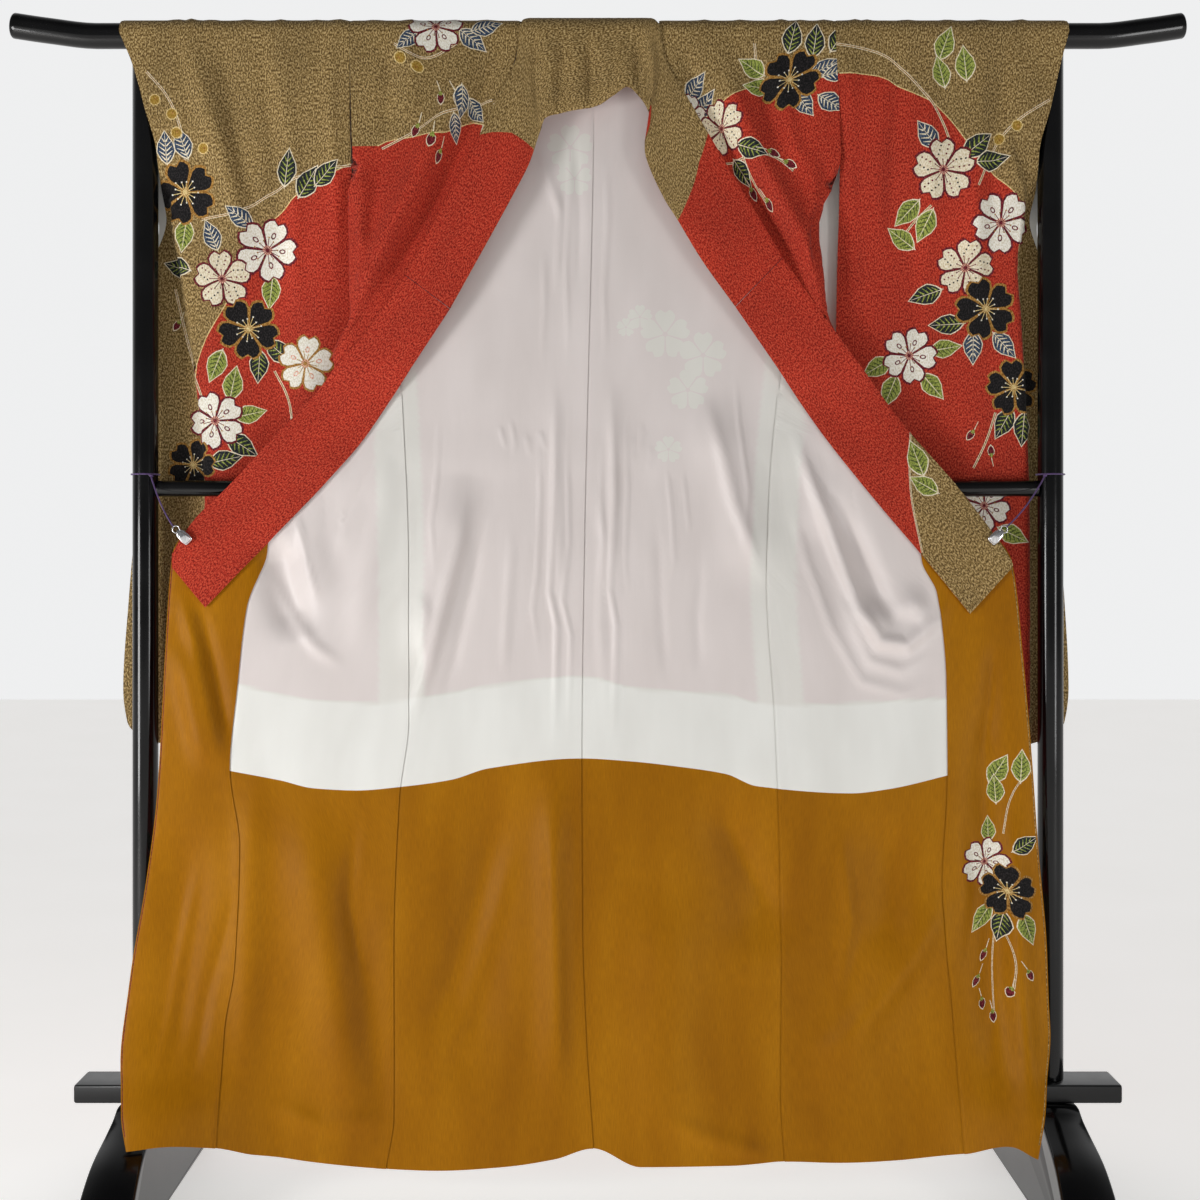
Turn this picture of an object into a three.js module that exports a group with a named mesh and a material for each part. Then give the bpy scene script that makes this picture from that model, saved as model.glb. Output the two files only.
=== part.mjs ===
// Furisode kimono, opened and hung on a black lacquer kimono stand.
// Millimetres, +Z up, the front of the kimono faces -Y. "left" and "right" are as seen from the front.
// The origin is on the floor, midway between the posts.
import * as THREE from 'three';

// ---------------------------------------------------------------- driving dimensions
const CLOTH = 1.6;                 // crepe silk with its interlining
const LINING = 1.2;                // plain silk lining
const COLLAR_CLOTH = 2.4;          // collar, folded double
const SEAM = 0.3;                  // gap kept at every seam and contact

const POST_X = 647;                // post centre from the middle
const POST_R = 18;
const ROD_Z = 1657;
const ROD_R = 18;
const ROD_HALF = 836;              // middle to the tip of an upturned end
const ROD_BEND_X = 715;            // where the rod starts to turn up
const ROD_RISE = 15;
const ROD_MID_BEND_X = 785;        // where it has risen half way
const ROD_STRAIGHT = 30;           // straight run kept before the turn
const ROD_QUARTER_X = 400;
const RAIL_Z = 1010;
const RAIL_R = 11.5;
const BEAM_HALF = 740;
const BEAM_DEPTH = 64;
const BEAM_LOW = 141;
const BEAM_HIGH = 167;
const FOOT_WIDE_TOP = 52;
const FOOT_WIDE_TOE = 78;
const FOOT_HALF = 222;
const FOOT_ARCH = 38;              // height of the gap under the foot
const FOOT_ARCH_HALF = 150;

const RAD = Math.PI / 180;
const lerp = (a, b, t) => a + (b - a) * t;
const clamp01 = (t) => Math.min(1, Math.max(0, t));
const smooth = (t) => {
  const c = clamp01(t);
  return c * c * (3 - 2 * c);
};

// ---------------------------------------------------------------- tables
// A table is a list of rows whose first column is the key, in falling order.
function column(table, key, index) {
  let row = 0;
  while (row < table.length - 2 && key < table[row + 1][0]) row += 1;
  const [low, high] = [table[row + 1], table[row]];
  const t = clamp01((high[0] - key) / (high[0] - low[0]));
  return lerp(high[index], low[index], t);
}

// Seams and free edges of the opened body: height z, place x.
const EDGE_LEFT = [[920, -600], [737, -611], [570, -620], [449, -635], [322, -654], [235, -661],
  [151, -649], [107, -637]];
const OKUMI_SEAM_LEFT = [[1100, -452], [918, -471], [839, -497], [730, -509], [613, -519], [502, -504],
  [338, -510], [251, -523], [97, -528]];
const SIDE_SEAM_LEFT = [[1657, -352], [1484, -347], [1340, -300], [1135, -280], [881, -269],
  [683, -268], [569, -281], [369, -288], [128, -287], [60, -297]];
const CENTRE_SEAM = [[1650, -5], [1380, -10], [1135, -16], [953, -20], [630, -24], [390, -23],
  [247, -18], [80, -7]];
const SIDE_SEAM_RIGHT = [[1657, 336], [1484, 343], [1340, 285], [1135, 256], [1008, 244], [881, 239],
  [665, 251], [373, 259], [160, 257], [62, 262]];
const OKUMI_SEAM_RIGHT = [[1100, 443], [906, 459], [860, 480], [737, 492], [605, 493], [445, 485],
  [274, 498], [88, 508]];
const EDGE_RIGHT = [[905, 587], [774, 598], [630, 610], [499, 618], [358, 628], [260, 629],
  [181, 616], [95, 596]];

// Hem: place x, height z.
const HEM = [[-665, 105], [-600, 110], [-530, 98], [-478, 79], [-390, 64], [-300, 56], [-224, 53],
  [-134, 58], [-60, 69], [-7, 84], [60, 58], [187, 60], [259, 66], [336, 64], [425, 68], [508, 86],
  [567, 106], [600, 95], [665, 95]];
// Where the white lining meets the ochre hem lining: place x, height z.
const LINING_JOIN = [[-530, 613], [-447, 597], [-400, 586], [-340, 583], [-279, 588], [-207, 598],
  [-154, 614], [-24, 628], [45, 624], [117, 616], [181, 606], [224, 589], [357, 579], [410, 585],
  [500, 606]];
const byX = (table, x) => column(table.map(([a, b]) => [-a, b]), -x, 1);

// How far the opened body lies behind (+) or before (-) the posts: height, middle y, outer-edge y.
const HANG = [[1657, 19.7, 19.7], [1010, -14.5, -20], [900, -22, -31], [600, -32, -37], [300, -39, -52],
  [200, -42, -80], [140, -45, -114], [60, -48, -140]];
const HANG_EDGE_FROM = 430;
const HANG_EDGE_TO = 640;

// Folds of the opened body: x and z at the top, x and z at the foot, half width, rise towards the front.
const FOLDS = [
  [-185, 1040, -262, 740, 34, 11],      // drawn slantwise below the left collar
  [155, 1150, 232, 860, 40, 12],        // drawn slantwise below the right collar
  [-62, 1180, -52, 820, 12, 4],         // creases beside the centre seam
  [22, 1180, 24, 820, 12, 4],
  [300, 985, 372, 812, 34, -9],        // slack cloth inside the right front
  [372, 812, 476, 850, 30, 12],
  [-590, 800, -545, 600, 22, 12],       // left overlap panel
  [-575, 560, -600, 150, 40, -12],
  [-484, 640, -496, 130, 24, 7],        // roll beside the left overlap seam
  [-130, 620, -195, 150, 55, -8],       // long soft hollows of the hem lining
  [-62, 600, -60, 120, 24, 8],
  [166, 560, 250, 380, 60, -9],
  [490, 440, 300, 160, 42, 10],
  [-420, 560, -330, 110, 45, 9],
  [548, 600, 560, 120, 30, -11],        // right overlap panel
  [590, 520, 594, 130, 20, 9],
  [100, 420, 90, 80, 60, 8],
];

function foldHeight(x, z) {
  let rise = 0;
  for (const [x1, z1, x2, z2, half, height] of FOLDS) {
    const [dx, dz] = [x2 - x1, z2 - z1];
    const length = Math.hypot(dx, dz);
    const along = ((x - x1) * dx + (z - z1) * dz) / length;
    const across = ((x - x1) * dz - (z - z1) * dx) / length;
    const fade = smooth(along / (0.3 * length)) * smooth((length - along) / (0.3 * length));
    rise += height * fade * Math.exp(-((across / half) ** 2) * 1.4);
  }
  return rise;
}

const RAIL_CLEAR = -13.8;          // the cloth stays before the mid rail
const BEAM_CLEAR = -35.5;          // and before the beam
function bodyY(x, z) {
  const edge = smooth((Math.abs(x) - HANG_EDGE_FROM) / (HANG_EDGE_TO - HANG_EDGE_FROM));
  let y = lerp(column(HANG, z, 1), column(HANG, z, 2), edge) - foldHeight(x, z);
  const nearRail = smooth(1 - Math.abs(z - RAIL_Z) / 90);
  const nearBeam = smooth(1 - Math.abs(z - (BEAM_LOW + BEAM_HIGH) / 2) / 120);
  y = lerp(y, Math.min(y, RAIL_CLEAR), nearRail);
  return lerp(y, Math.min(y, BEAM_CLEAR), nearBeam);
}

// ---------------------------------------------------------------- cloth walls
// A sheet is a grid of points: rows of THREE.Vector3, one for each column.
function makeGrid(rows, columns, point) {
  return Array.from({ length: rows + 1 }, (_, j) =>
    Array.from({ length: columns + 1 }, (__, i) => point(i, j)));
}

function normalsOf(grid) {
  const [rows, columns] = [grid.length - 1, grid[0].length - 1];
  return makeGrid(rows, columns, (i, j) => {
    const across = grid[j][Math.min(i + 1, columns)].clone().sub(grid[j][Math.max(i - 1, 0)]);
    const along = grid[Math.min(j + 1, rows)][i].clone().sub(grid[Math.max(j - 1, 0)][i]);
    return across.cross(along).normalize();
  });
}

// A closed wall on the rows from first to last of a grid, its middle moved by offset along the grid's
// normals. trim shortens it at its first and last row.
function wall(grid, normals, thickness, options = {}) {
  const { offset = 0, first = 0, last = grid.length - 1, trim = [0, 0] } = options;
  const [rows, columns] = [last - first, grid[0].length - 1];
  const surface = (distance) => {
    const points = makeGrid(rows, columns, (i, j) =>
      grid[first + j][i].clone().addScaledVector(normals[first + j][i], distance));
    for (let i = 0; i <= columns; i += 1) {
      for (const [end, next, cut] of [[0, 1, trim[0]], [rows, rows - 1, trim[1]]]) {
        const inward = points[next][i].clone().sub(points[end][i]).normalize();
        points[end][i].addScaledVector(inward, cut);
      }
    }
    return points.flat();
  };
  const points = [...surface(offset + thickness / 2), ...surface(offset - thickness / 2)];
  const back = points.length / 2;
  const index = [];
  const quad = (a, b, c, d) => index.push(a, b, c, a, c, d);
  const id = (i, j) => j * (columns + 1) + i;
  for (let j = 0; j < rows; j += 1) {
    for (let i = 0; i < columns; i += 1) {
      const [a, b, c, d] = [id(i, j), id(i + 1, j), id(i + 1, j + 1), id(i, j + 1)];
      quad(a, b, c, d);
      index.push(a + back, c + back, b + back, a + back, d + back, c + back);
    }
  }
  const edge = (a, b) => quad(b, a, a + back, b + back);
  for (let i = 0; i < columns; i += 1) {
    edge(id(i, 0), id(i + 1, 0));
    edge(id(i + 1, rows), id(i, rows));
  }
  for (let j = 0; j < rows; j += 1) {
    edge(id(0, j + 1), id(0, j));
    edge(id(columns, j), id(columns, j + 1));
  }
  const geometry = new THREE.BufferGeometry();
  geometry.setAttribute('position', new THREE.Float32BufferAttribute(points.flatMap((p) => p.toArray()), 3));
  geometry.setIndex(index);
  geometry.computeVertexNormals();
  return geometry;
}

// A point at the share u of the length of a polyline.
function alongLine(points, u) {
  const lengths = points.slice(1).map((p, k) => p.distanceTo(points[k]));
  let left = u * lengths.reduce((a, b) => a + b, 0);
  let k = 0;
  while (k < lengths.length - 1 && left > lengths[k]) {
    left -= lengths[k];
    k += 1;
  }
  return points[k].clone().lerp(points[k + 1], clamp01(left / lengths[k]));
}
const V = (x, y, z) => new THREE.Vector3(x, y, z);

const group = new THREE.Group();
function add(name, geometry, colour, roughness, metalness = 0) {
  const material = new THREE.MeshStandardMaterial({ color: colour, roughness, metalness });
  const mesh = new THREE.Mesh(geometry, material);
  mesh.name = name;
  group.add(mesh);
  return mesh;
}
const LACQUER = 0x0b0b0d;
const CREPE = 0xb23a26;
const IVORY = 0xe9e5e0;
const OCHRE = 0xa5690f;
const STEEL = 0xc8c8cc;
const PURPLE = 0x3a2366;
const GLOSS = 0.12;                // roughness of the lacquer

// ---------------------------------------------------------------- stand
function roundBar(points, radius, sides, steps) {
  const section = new THREE.Shape();
  for (let k = 0; k < sides; k += 1) {
    const a = (2 * Math.PI * k) / sides;
    const [x, y] = [radius * Math.cos(a), radius * Math.sin(a)];
    if (k === 0) section.moveTo(x, y);
    else section.lineTo(x, y);
  }
  section.closePath();
  const path = new THREE.CatmullRomCurve3(points, false, 'centripetal');
  return new THREE.ExtrudeGeometry(section, { steps, bevelEnabled: false, extrudePath: path });
}

function makeRod() {
  const risen = [[ROD_HALF, ROD_RISE], [ROD_MID_BEND_X, ROD_RISE / 2], [ROD_BEND_X, 0],
    [ROD_BEND_X - ROD_STRAIGHT, 0]];
  const ends = (side) => risen.map(([x, rise]) => V(side * x, 0, ROD_Z + rise));
  const middle = [-ROD_QUARTER_X, 0, ROD_QUARTER_X].map((x) => V(x, 0, ROD_Z));
  const points = [...ends(-1), ...middle, ...ends(1).reverse()];
  add('rod', roundBar(points, ROD_R, 16, 18), LACQUER, GLOSS);
}

function makePosts() {
  const low = BEAM_HIGH + SEAM;
  const high = ROD_Z - ROD_R - SEAM;
  for (const [name, side] of [['post_left', -1], ['post_right', 1]]) {
    const geometry = new THREE.CylinderGeometry(POST_R, POST_R, high - low, 16);
    geometry.rotateX(90 * RAD);
    add(name, geometry, LACQUER, GLOSS).position.set(side * POST_X, 0, (low + high) / 2);
  }
  const rail = new THREE.CylinderGeometry(RAIL_R, RAIL_R, 2 * (POST_X - POST_R - SEAM), 16);
  rail.rotateZ(90 * RAD);
  add('mid_rail', rail, LACQUER, GLOSS).position.set(0, 0, RAIL_Z);
}

function makeBeam() {
  const geometry = new THREE.BoxGeometry(2 * BEAM_HALF, BEAM_DEPTH, BEAM_HIGH - BEAM_LOW);
  add('beam', geometry, LACQUER, GLOSS).position.set(0, 0, (BEAM_LOW + BEAM_HIGH) / 2);
}

// Half of the foot's upper outline: distance from the middle, height.
const FOOT_TOP = [[40, BEAM_LOW - SEAM], [60, 129], [84, 119], [140, 97], [180, 68], [205, 38], [218, 14],
  [FOOT_HALF, 0]];
const ARCH_STEPS = 8;
function makeFeet() {
  const outline = new THREE.Shape();
  const half = [...FOOT_TOP];
  outline.moveTo(-half[half.length - 1][0], 0);
  half.slice(0, -1).reverse().forEach(([y, z]) => outline.lineTo(-y, z));
  half.forEach(([y, z]) => outline.lineTo(y, z));
  for (let k = 0; k <= ARCH_STEPS; k += 1) {
    const a = (Math.PI * k) / ARCH_STEPS;
    outline.lineTo(FOOT_ARCH_HALF * Math.cos(a), FOOT_ARCH * Math.sin(a));
  }
  outline.closePath();
  for (const [name, side] of [['foot_left', -1], ['foot_right', 1]]) {
    const geometry = new THREE.ExtrudeGeometry(outline, { depth: 1, bevelEnabled: false });
    geometry.translate(0, 0, -0.5);
    geometry.applyMatrix4(new THREE.Matrix4().set(0, 0, 1, 0, 1, 0, 0, 0, 0, 1, 0, 0, 0, 0, 0, 1));
    const position = geometry.getAttribute('position');
    for (let k = 0; k < position.count; k += 1) {
      const wide = lerp(FOOT_WIDE_TOP, FOOT_WIDE_TOE, Math.abs(position.getY(k)) / FOOT_HALF);
      position.setX(k, position.getX(k) * wide);
    }
    add(name, geometry, LACQUER, GLOSS).position.set(side * POST_X, 0, 0);
  }
}

// ---------------------------------------------------------------- opened body
const OUTER_OFFSET = SEAM / 2 + CLOTH / 2;
const LINING_OFFSET = SEAM / 2 + LINING / 2;
const EDGE_INSET = 0.35;
const NECK_TOP = 1640;             // top of the back lining
const FOLD_FOOT = 1146;            // where the fronts stop folding back on themselves
const OKUMI_TOP = 1084;
const HEM_TUCK = 3;                // the hem lining ends this far above the crepe
const TURN_ROWS = 3;               // rows over the rod, from its top to its side
const SHOULDER_ROWS = 9;           // rod to the foot of the fold
const LINING_ROWS = 6;             // foot of the fold to the lining's join
const HEM_ROWS = 7;                // join to hem
const JOIN_ROW = TURN_ROWS + SHOULDER_ROWS + LINING_ROWS;
const LAST_ROW = JOIN_ROW + HEM_ROWS;
const TURN_CLEAR = 1.5;            // a bent wall's flats come this much nearer to the rod

const hemZ = (x) => byX(HEM, x);
const joinZ = (x) => byX(LINING_JOIN, x);
const bodyPoint = (x, z) => V(x, bodyY(x, z), z);

// Height of a row of the body at x, the same on each side of every seam.
function rowZ(row, x) {
  const shoulder = TURN_ROWS + SHOULDER_ROWS;
  if (row <= TURN_ROWS) return ROD_Z;
  if (row <= shoulder) {
    const t = (row - TURN_ROWS - 1) / (SHOULDER_ROWS - 1);
    return lerp(NECK_TOP, FOLD_FOOT, t);
  }
  if (row <= JOIN_ROW) return lerp(FOLD_FOOT, joinZ(x), (row - shoulder) / LINING_ROWS);
  return lerp(joinZ(x), hemZ(x), (row - JOIN_ROW) / HEM_ROWS);
}

// Place between two seams on a row: rows slope with the hem, so x and z are found together.
function between(left, right, u, row, inset = EDGE_INSET) {
  let z = rowZ(row, 0);
  let x = 0;
  for (let k = 0; k < 4; k += 1) {
    x = lerp(column(left, z, 1) + inset, column(right, z, 1) - inset, u);
    z = rowZ(row, x);
  }
  return [x, z];
}

// Over the rod, from its top (t = 0) to the height of its middle (t = 1), before (-1) or behind it (1).
const TURN_START = 0.02;
function turn(x, t, side, endRadius, startRadius) {
  const radius = lerp(startRadius, endRadius, t);
  const angle = lerp(TURN_START, 1, t) * 90 * RAD;
  return V(x, side * radius * Math.sin(angle), ROD_Z + radius * Math.cos(angle));
}
const TURN_R = ROD_R + SEAM / 2 + TURN_CLEAR;

const LINING_LOOK = [IVORY, 0.55];
const OCHRE_LOOK = [OCHRE, 0.45];
const CREPE_LOOK = [CREPE, 0.8];

// Collar seam of each front: height, place x.
const COLLAR_SEAM_LEFT = [[1657, -116], [1636, -119], [1595, -129], [1555, -146], [1505, -168], [1417, -212],
  [1383, -233], [1314, -274], [1233, -326], [1187, -367], [1151, -395], [1094, -449], [1011, -525],
  [961, -573], [916, -600]];
const COLLAR_SEAM_RIGHT = [[1657, 98], [1636, 100], [1562, 129], [1508, 159], [1459, 187], [1405, 220],
  [1332, 263], [1246, 324], [1172, 380], [1090, 442], [1018, 504], [954, 552], [905, 584]];
const frontEdge = (collarSeam, okumiSeam) => [
  ...collarSeam.filter(([z]) => z > okumiSeam[0][0]), ...okumiSeam];
const okumiEdge = (collarSeam, edge) => [...collarSeam.filter(([z]) => z < 1120), ...edge.slice(1)];

const BACK_COLUMNS = 7;
const NECK_HALF = 118;
const NECK_ROUND = 40;
const NECK_ROW = 1.45;             // the neckline lies this many rows behind the shoulder line
function backGrid(left, right) {
  return makeGrid(LAST_ROW, BACK_COLUMNS, (i, j) => {
    const u = i / BACK_COLUMNS;
    const [x, z] = between(left, right, u, j);
    const behind = V(x, bodyY(x, ROD_Z), ROD_Z);
    // The neckline runs down behind the rod.
    const neck = smooth((NECK_HALF - Math.abs(x)) / NECK_ROUND);
    const first = lerp(0, NECK_ROW, neck);
    const row = lerp(first, TURN_ROWS + 1, j / (TURN_ROWS + 1));
    if (j > TURN_ROWS) return bodyPoint(x, z);
    if (row <= TURN_ROWS) return turn(x, row / TURN_ROWS, 1, behind.y, TURN_R);
    return behind.lerp(bodyPoint(x, NECK_TOP), row - TURN_ROWS);
  });
}

// Fronts before the rod and over the chest: height, y.
const CHEST_Y = [[1657, -18.7], [1484, -21], [1300, -24], [1200, -21], [1150, -16.5]];
// Fold edge at which each front turns back under itself: height, place x.
const FOLD_LEFT = [[1484, -347], [1437, -354], [1318, -353], [1260, -351], [1224, -366], [1190, -382],
  [1150, -399]];
const FOLD_RIGHT = [[1484, 343], [1442, 335], [1408, 319], [1377, 313], [1335, 317], [1252, 327],
  [1200, 362], [1150, 400]];
const SIDE_OPEN = 1484;            // the armhole is sewn down to here
const SIDE_SEWN = 1340;            // and the side seam begins here
// Slanting ridge from the shoulder to the fold: height, distance from the middle, rise.
const CHEST_RIDGE = [[1600, 215, 0], [1424, 266, 6], [1327, 316, 5], [1250, 352, 0]];
const RIDGE_HALF = 26;
const FREE_EDGE_GAP = 1.2;
const UNDER_COLLAR = 2;            // the front reaches this far under the collar
const FRONT_COLUMNS = 10;

function frontGrid(side, sideSeam, collarSeam, edge, foldEdge) {
  const chestY = (x, z) => {
    const across = (Math.abs(x) - column(CHEST_RIDGE, z, 1)) / RIDGE_HALF;
    return column(CHEST_Y, z, 1) - column(CHEST_RIDGE, z, 2) * Math.exp(-across * across);
  };
  // The layer seen from the front, folded back on itself below the armhole.
  const section = (z) => {
    const seamX = column(collarSeam, z, 1) - side * UNDER_COLLAR;
    const chest = (x) => V(x, chestY(x, z), z);
    const open = z < SIDE_OPEN;
    const sideX = column(sideSeam, z, 1) + side * (open ? FREE_EDGE_GAP : -EDGE_INSET);
    if (!open) return [0, 0.5, 1].map((t) => chest(lerp(sideX, seamX, t)));
    const back = smooth((SIDE_OPEN - z) / (SIDE_OPEN - SIDE_SEWN));
    const foldX = column(foldEdge, z, 1);
    const frontY = chestY(foldX, z);
    const backY = lerp(frontY, bodyY(foldX, z), back);
    const radius = Math.max((backY - frontY) / 2, 0.02);
    const centre = V(foldX - side * radius, (backY + frontY) / 2, z);
    const backLayer = [0, 0.5].map((t) => {
      const x = lerp(sideX, centre.x, t);
      return V(x, lerp(chestY(x, z), bodyY(x, z), back), z);
    });
    const bend = [90, 54, 18, -18, -54, -90].map((a) =>
      centre.clone().add(V(side * radius * Math.cos(a * RAD), radius * Math.sin(a * RAD), 0)));
    return [...backLayer, ...bend, ...[1 / 3, 2 / 3, 1].map((t) => chest(lerp(centre.x, seamX, t)))];
  };
  return makeGrid(LAST_ROW, FRONT_COLUMNS, (i, j) => {
    const u = i / FRONT_COLUMNS;
    if (j >= TURN_ROWS + SHOULDER_ROWS) {
      const [x, z] = between(sideSeam, edge, u, j, side * EDGE_INSET);
      return bodyPoint(x, z);
    }
    const p = alongLine(section(rowZ(j, 0)), u);
    return j < TURN_ROWS ? turn(p.x, j / TURN_ROWS, -1, -p.y, TURN_R) : p;
  });
}

const OKUMI_COLUMNS = 4;
function okumiGrid(left, right) {
  const start = TURN_ROWS + SHOULDER_ROWS;
  return makeGrid(LAST_ROW - start, OKUMI_COLUMNS, (i, j) => {
    const u = i / OKUMI_COLUMNS;
    if (j > 0) return bodyPoint(...between(left, right, u, start + j));
    const x = lerp(column(left, OKUMI_TOP, 1) + EDGE_INSET, column(right, OKUMI_TOP, 1) - EDGE_INSET, u);
    return bodyPoint(x, OKUMI_TOP);
  });
}

// The crepe panel and its linings share one grid. facing is 1 where the grid's normals point to the back.
function dress(name, grid, facing, outerName, linings) {
  const normals = normalsOf(grid);
  add(outerName, wall(grid, normals, CLOTH, { offset: facing * OUTER_OFFSET }), ...CREPE_LOOK);
  for (const [lining, first, last, trim, look] of linings) {
    const geometry = wall(grid, normals, LINING, { offset: -facing * LINING_OFFSET, first, last, trim });
    add(`${lining}_${name}`, geometry, ...look);
  }
}

function makeBody() {
  const chest = TURN_ROWS + SHOULDER_ROWS;
  const upper = (kind, first) => [`lining_${kind}`, first, JOIN_ROW, [0, SEAM], LINING_LOOK];
  const lower = (kind) => [`hem_lining_${kind}`, JOIN_ROW, LAST_ROW, [SEAM, HEM_TUCK], OCHRE_LOOK];
  const back = [upper('back', TURN_ROWS + 1), lower('back')];
  const front = [upper('front', chest), lower('front')];
  const okumi = [['hem_lining_okumi', 0, LAST_ROW - chest, [0, HEM_TUCK], OCHRE_LOOK]];
  const frontLeft = frontEdge(COLLAR_SEAM_LEFT, OKUMI_SEAM_LEFT);
  const frontRight = frontEdge(COLLAR_SEAM_RIGHT, OKUMI_SEAM_RIGHT);
  dress('left', backGrid(SIDE_SEAM_LEFT, CENTRE_SEAM), 1, 'back_left', back);
  dress('right', backGrid(CENTRE_SEAM, SIDE_SEAM_RIGHT), 1, 'back_right', back);
  const folded = frontGrid(-1, SIDE_SEAM_LEFT, COLLAR_SEAM_LEFT, frontLeft, FOLD_LEFT);
  dress('left', folded, -1, 'front_left', front);
  const foldedRight = frontGrid(1, SIDE_SEAM_RIGHT, COLLAR_SEAM_RIGHT, frontRight, FOLD_RIGHT);
  dress('right', foldedRight, 1, 'front_right', front);
  const overlap = okumiGrid(okumiEdge(COLLAR_SEAM_LEFT, EDGE_LEFT), OKUMI_SEAM_LEFT);
  dress('left', overlap, 1, 'okumi_left', okumi);
  const overlapRight = okumiGrid(OKUMI_SEAM_RIGHT, okumiEdge(COLLAR_SEAM_RIGHT, EDGE_RIGHT));
  dress('right', overlapRight, 1, 'okumi_right', okumi);
}

// ---------------------------------------------------------------- sleeves
// Columns: height, inner edge x, fold x, outer edge x, front layer y, its outer y, back layer's outer y,
// and its y at the inner edge. Between the cuff opening and the foot the layers meet along the outer edge.
const SLEEVE_LEFT = [
  [1657, -353, -600, -679, -20, -20.2, 20.6, 20.6],
  [1608, -352, -592, -659, -19.8, -20.8, 22, 17.5],
  [1550, -352, -585, -643, -18.6, -20.6, 25, 14],
  [1484, -351, -588, -627, -14, -14, 29, 13],
  [1440, -350, -600, -617, -8, 6, 30, 14.5],
  [1400, -350, -610, -624, -2, 25.5, 27.7, 16],
  [1330, -350, -600, -645, 5, 29, 31.2, 21],
  [1200, -348, -582, -652, 12, 34, 36.2, 28],
  [1010, -342, -566, -668, 18, 37.5, 39.7, 35],
  [850, -340, -566, -682, 18, 37.5, 39.7, 35],
  [720, -340, -570, -690, 18, 37.5, 39.7, 35],
  [672, -340, -572, -684, 18, 37.5, 39.7, 35],
  [650, -340, -573, -664, 18, 37.5, 39.7, 35],
  [640, -340, -574, -630, 18, 37.5, 39.7, 35],
];
const SLEEVE_RIGHT = [
  [1657, 337, 590, 668, -20, -20.2, 20.6, 20.6],
  [1608, 339, 585, 655, -19.8, -20.8, 22, 17.5],
  [1550, 342, 580, 642, -18.6, -20.6, 25, 14],
  [1484, 344, 588, 627, -14, -14, 29, 13],
  [1440, 344, 602, 619, -8, 6, 30, 14.5],
  [1400, 344, 610, 624, -2, 25.5, 27.7, 16],
  [1340, 343, 601, 640, 5, 29, 31.2, 21],
  [1231, 342, 609, 650, 11, 33, 35.2, 27],
  [1010, 340, 621, 664, 18, 37.5, 39.7, 35],
  [850, 338, 622, 678, 18, 37.5, 39.7, 35],
  [720, 338, 622, 684, 18, 37.5, 39.7, 35],
  [672, 338, 622, 678, 18, 37.5, 39.7, 35],
  [650, 338, 620, 658, 18, 37.5, 39.7, 35],
  [640, 338, 612, 628, 18, 37.5, 39.7, 35],
];
const SLEEVE_FOOT = 640;
const FOLD_STEP = 3;
const INNER_COLUMNS = 6;           // inner edge to the fold
const OUTER_COLUMNS = 2;           // fold to the outer edge
const SLEEVE_COLUMNS = INNER_COLUMNS + 1 + OUTER_COLUMNS;
// How far the back layer's inner edge reaches in past the front layer's: height, reach.
const BACK_REACH = [[1657, 0], [1484, 0], [1422, 24], [1344, 36], [1266, 34], [1188, 14], [1109, 0],
  [640, 0]];
const FOOT_SEAM = 60;              // the layers draw together over this height above the foot
const FOOT_SEAM_GAP = 2.1;
const BACK_WAVE = 0.6;             // the back layer follows the front's waves this much
// Soft waves of a sleeve: place x at the top, x at the foot, half width, rise.
const SLEEVE_WAVES = [[-395, -400, 30, 4], [-470, -455, 34, -5], [-545, -530, 22, 4]];

function sleeveSection(table, z, isFront) {
  const [inner, fold, outer, frontY, frontOuterY, backOuterY, backY] =
    [1, 2, 3, 4, 5, 6, 7].map((k) => column(table, z, k));
  const side = Math.sign(inner);
  const step = fold + side * FOLD_STEP;
  const sewn = smooth((SLEEVE_FOOT + FOOT_SEAM - z) / FOOT_SEAM);
  const innerX = isFront ? inner : inner - side * column(BACK_REACH, z, 1);
  const down = smooth((ROD_Z - z) / 200) * (1 - sewn);
  const wave = (x) => SLEEVE_WAVES.reduce((sum, [top, foot, half, rise]) => {
    const middle = lerp(top, foot, (ROD_Z - z) / (ROD_Z - SLEEVE_FOOT));
    return sum + rise * down * Math.exp(-(((-side * x - middle) / half) ** 2));
  }, 0);
  const layer = (x) => {
    const back = lerp(backY, backOuterY, (x - inner) / (outer - inner)) - BACK_WAVE * wave(x);
    return isFront ? lerp(frontY - wave(x), back - FOOT_SEAM_GAP, sewn) : back;
  };
  const points = [];
  for (let k = 0; k <= INNER_COLUMNS; k += 1) {
    const x = lerp(innerX, fold, k / INNER_COLUMNS);
    points.push(V(x, layer(x), z));
  }
  for (let k = 0; k <= OUTER_COLUMNS; k += 1) {
    const x = lerp(step, outer, k / OUTER_COLUMNS);
    points.push(V(x, isFront ? frontOuterY : layer(x), z));
  }
  return points;
}

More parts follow.
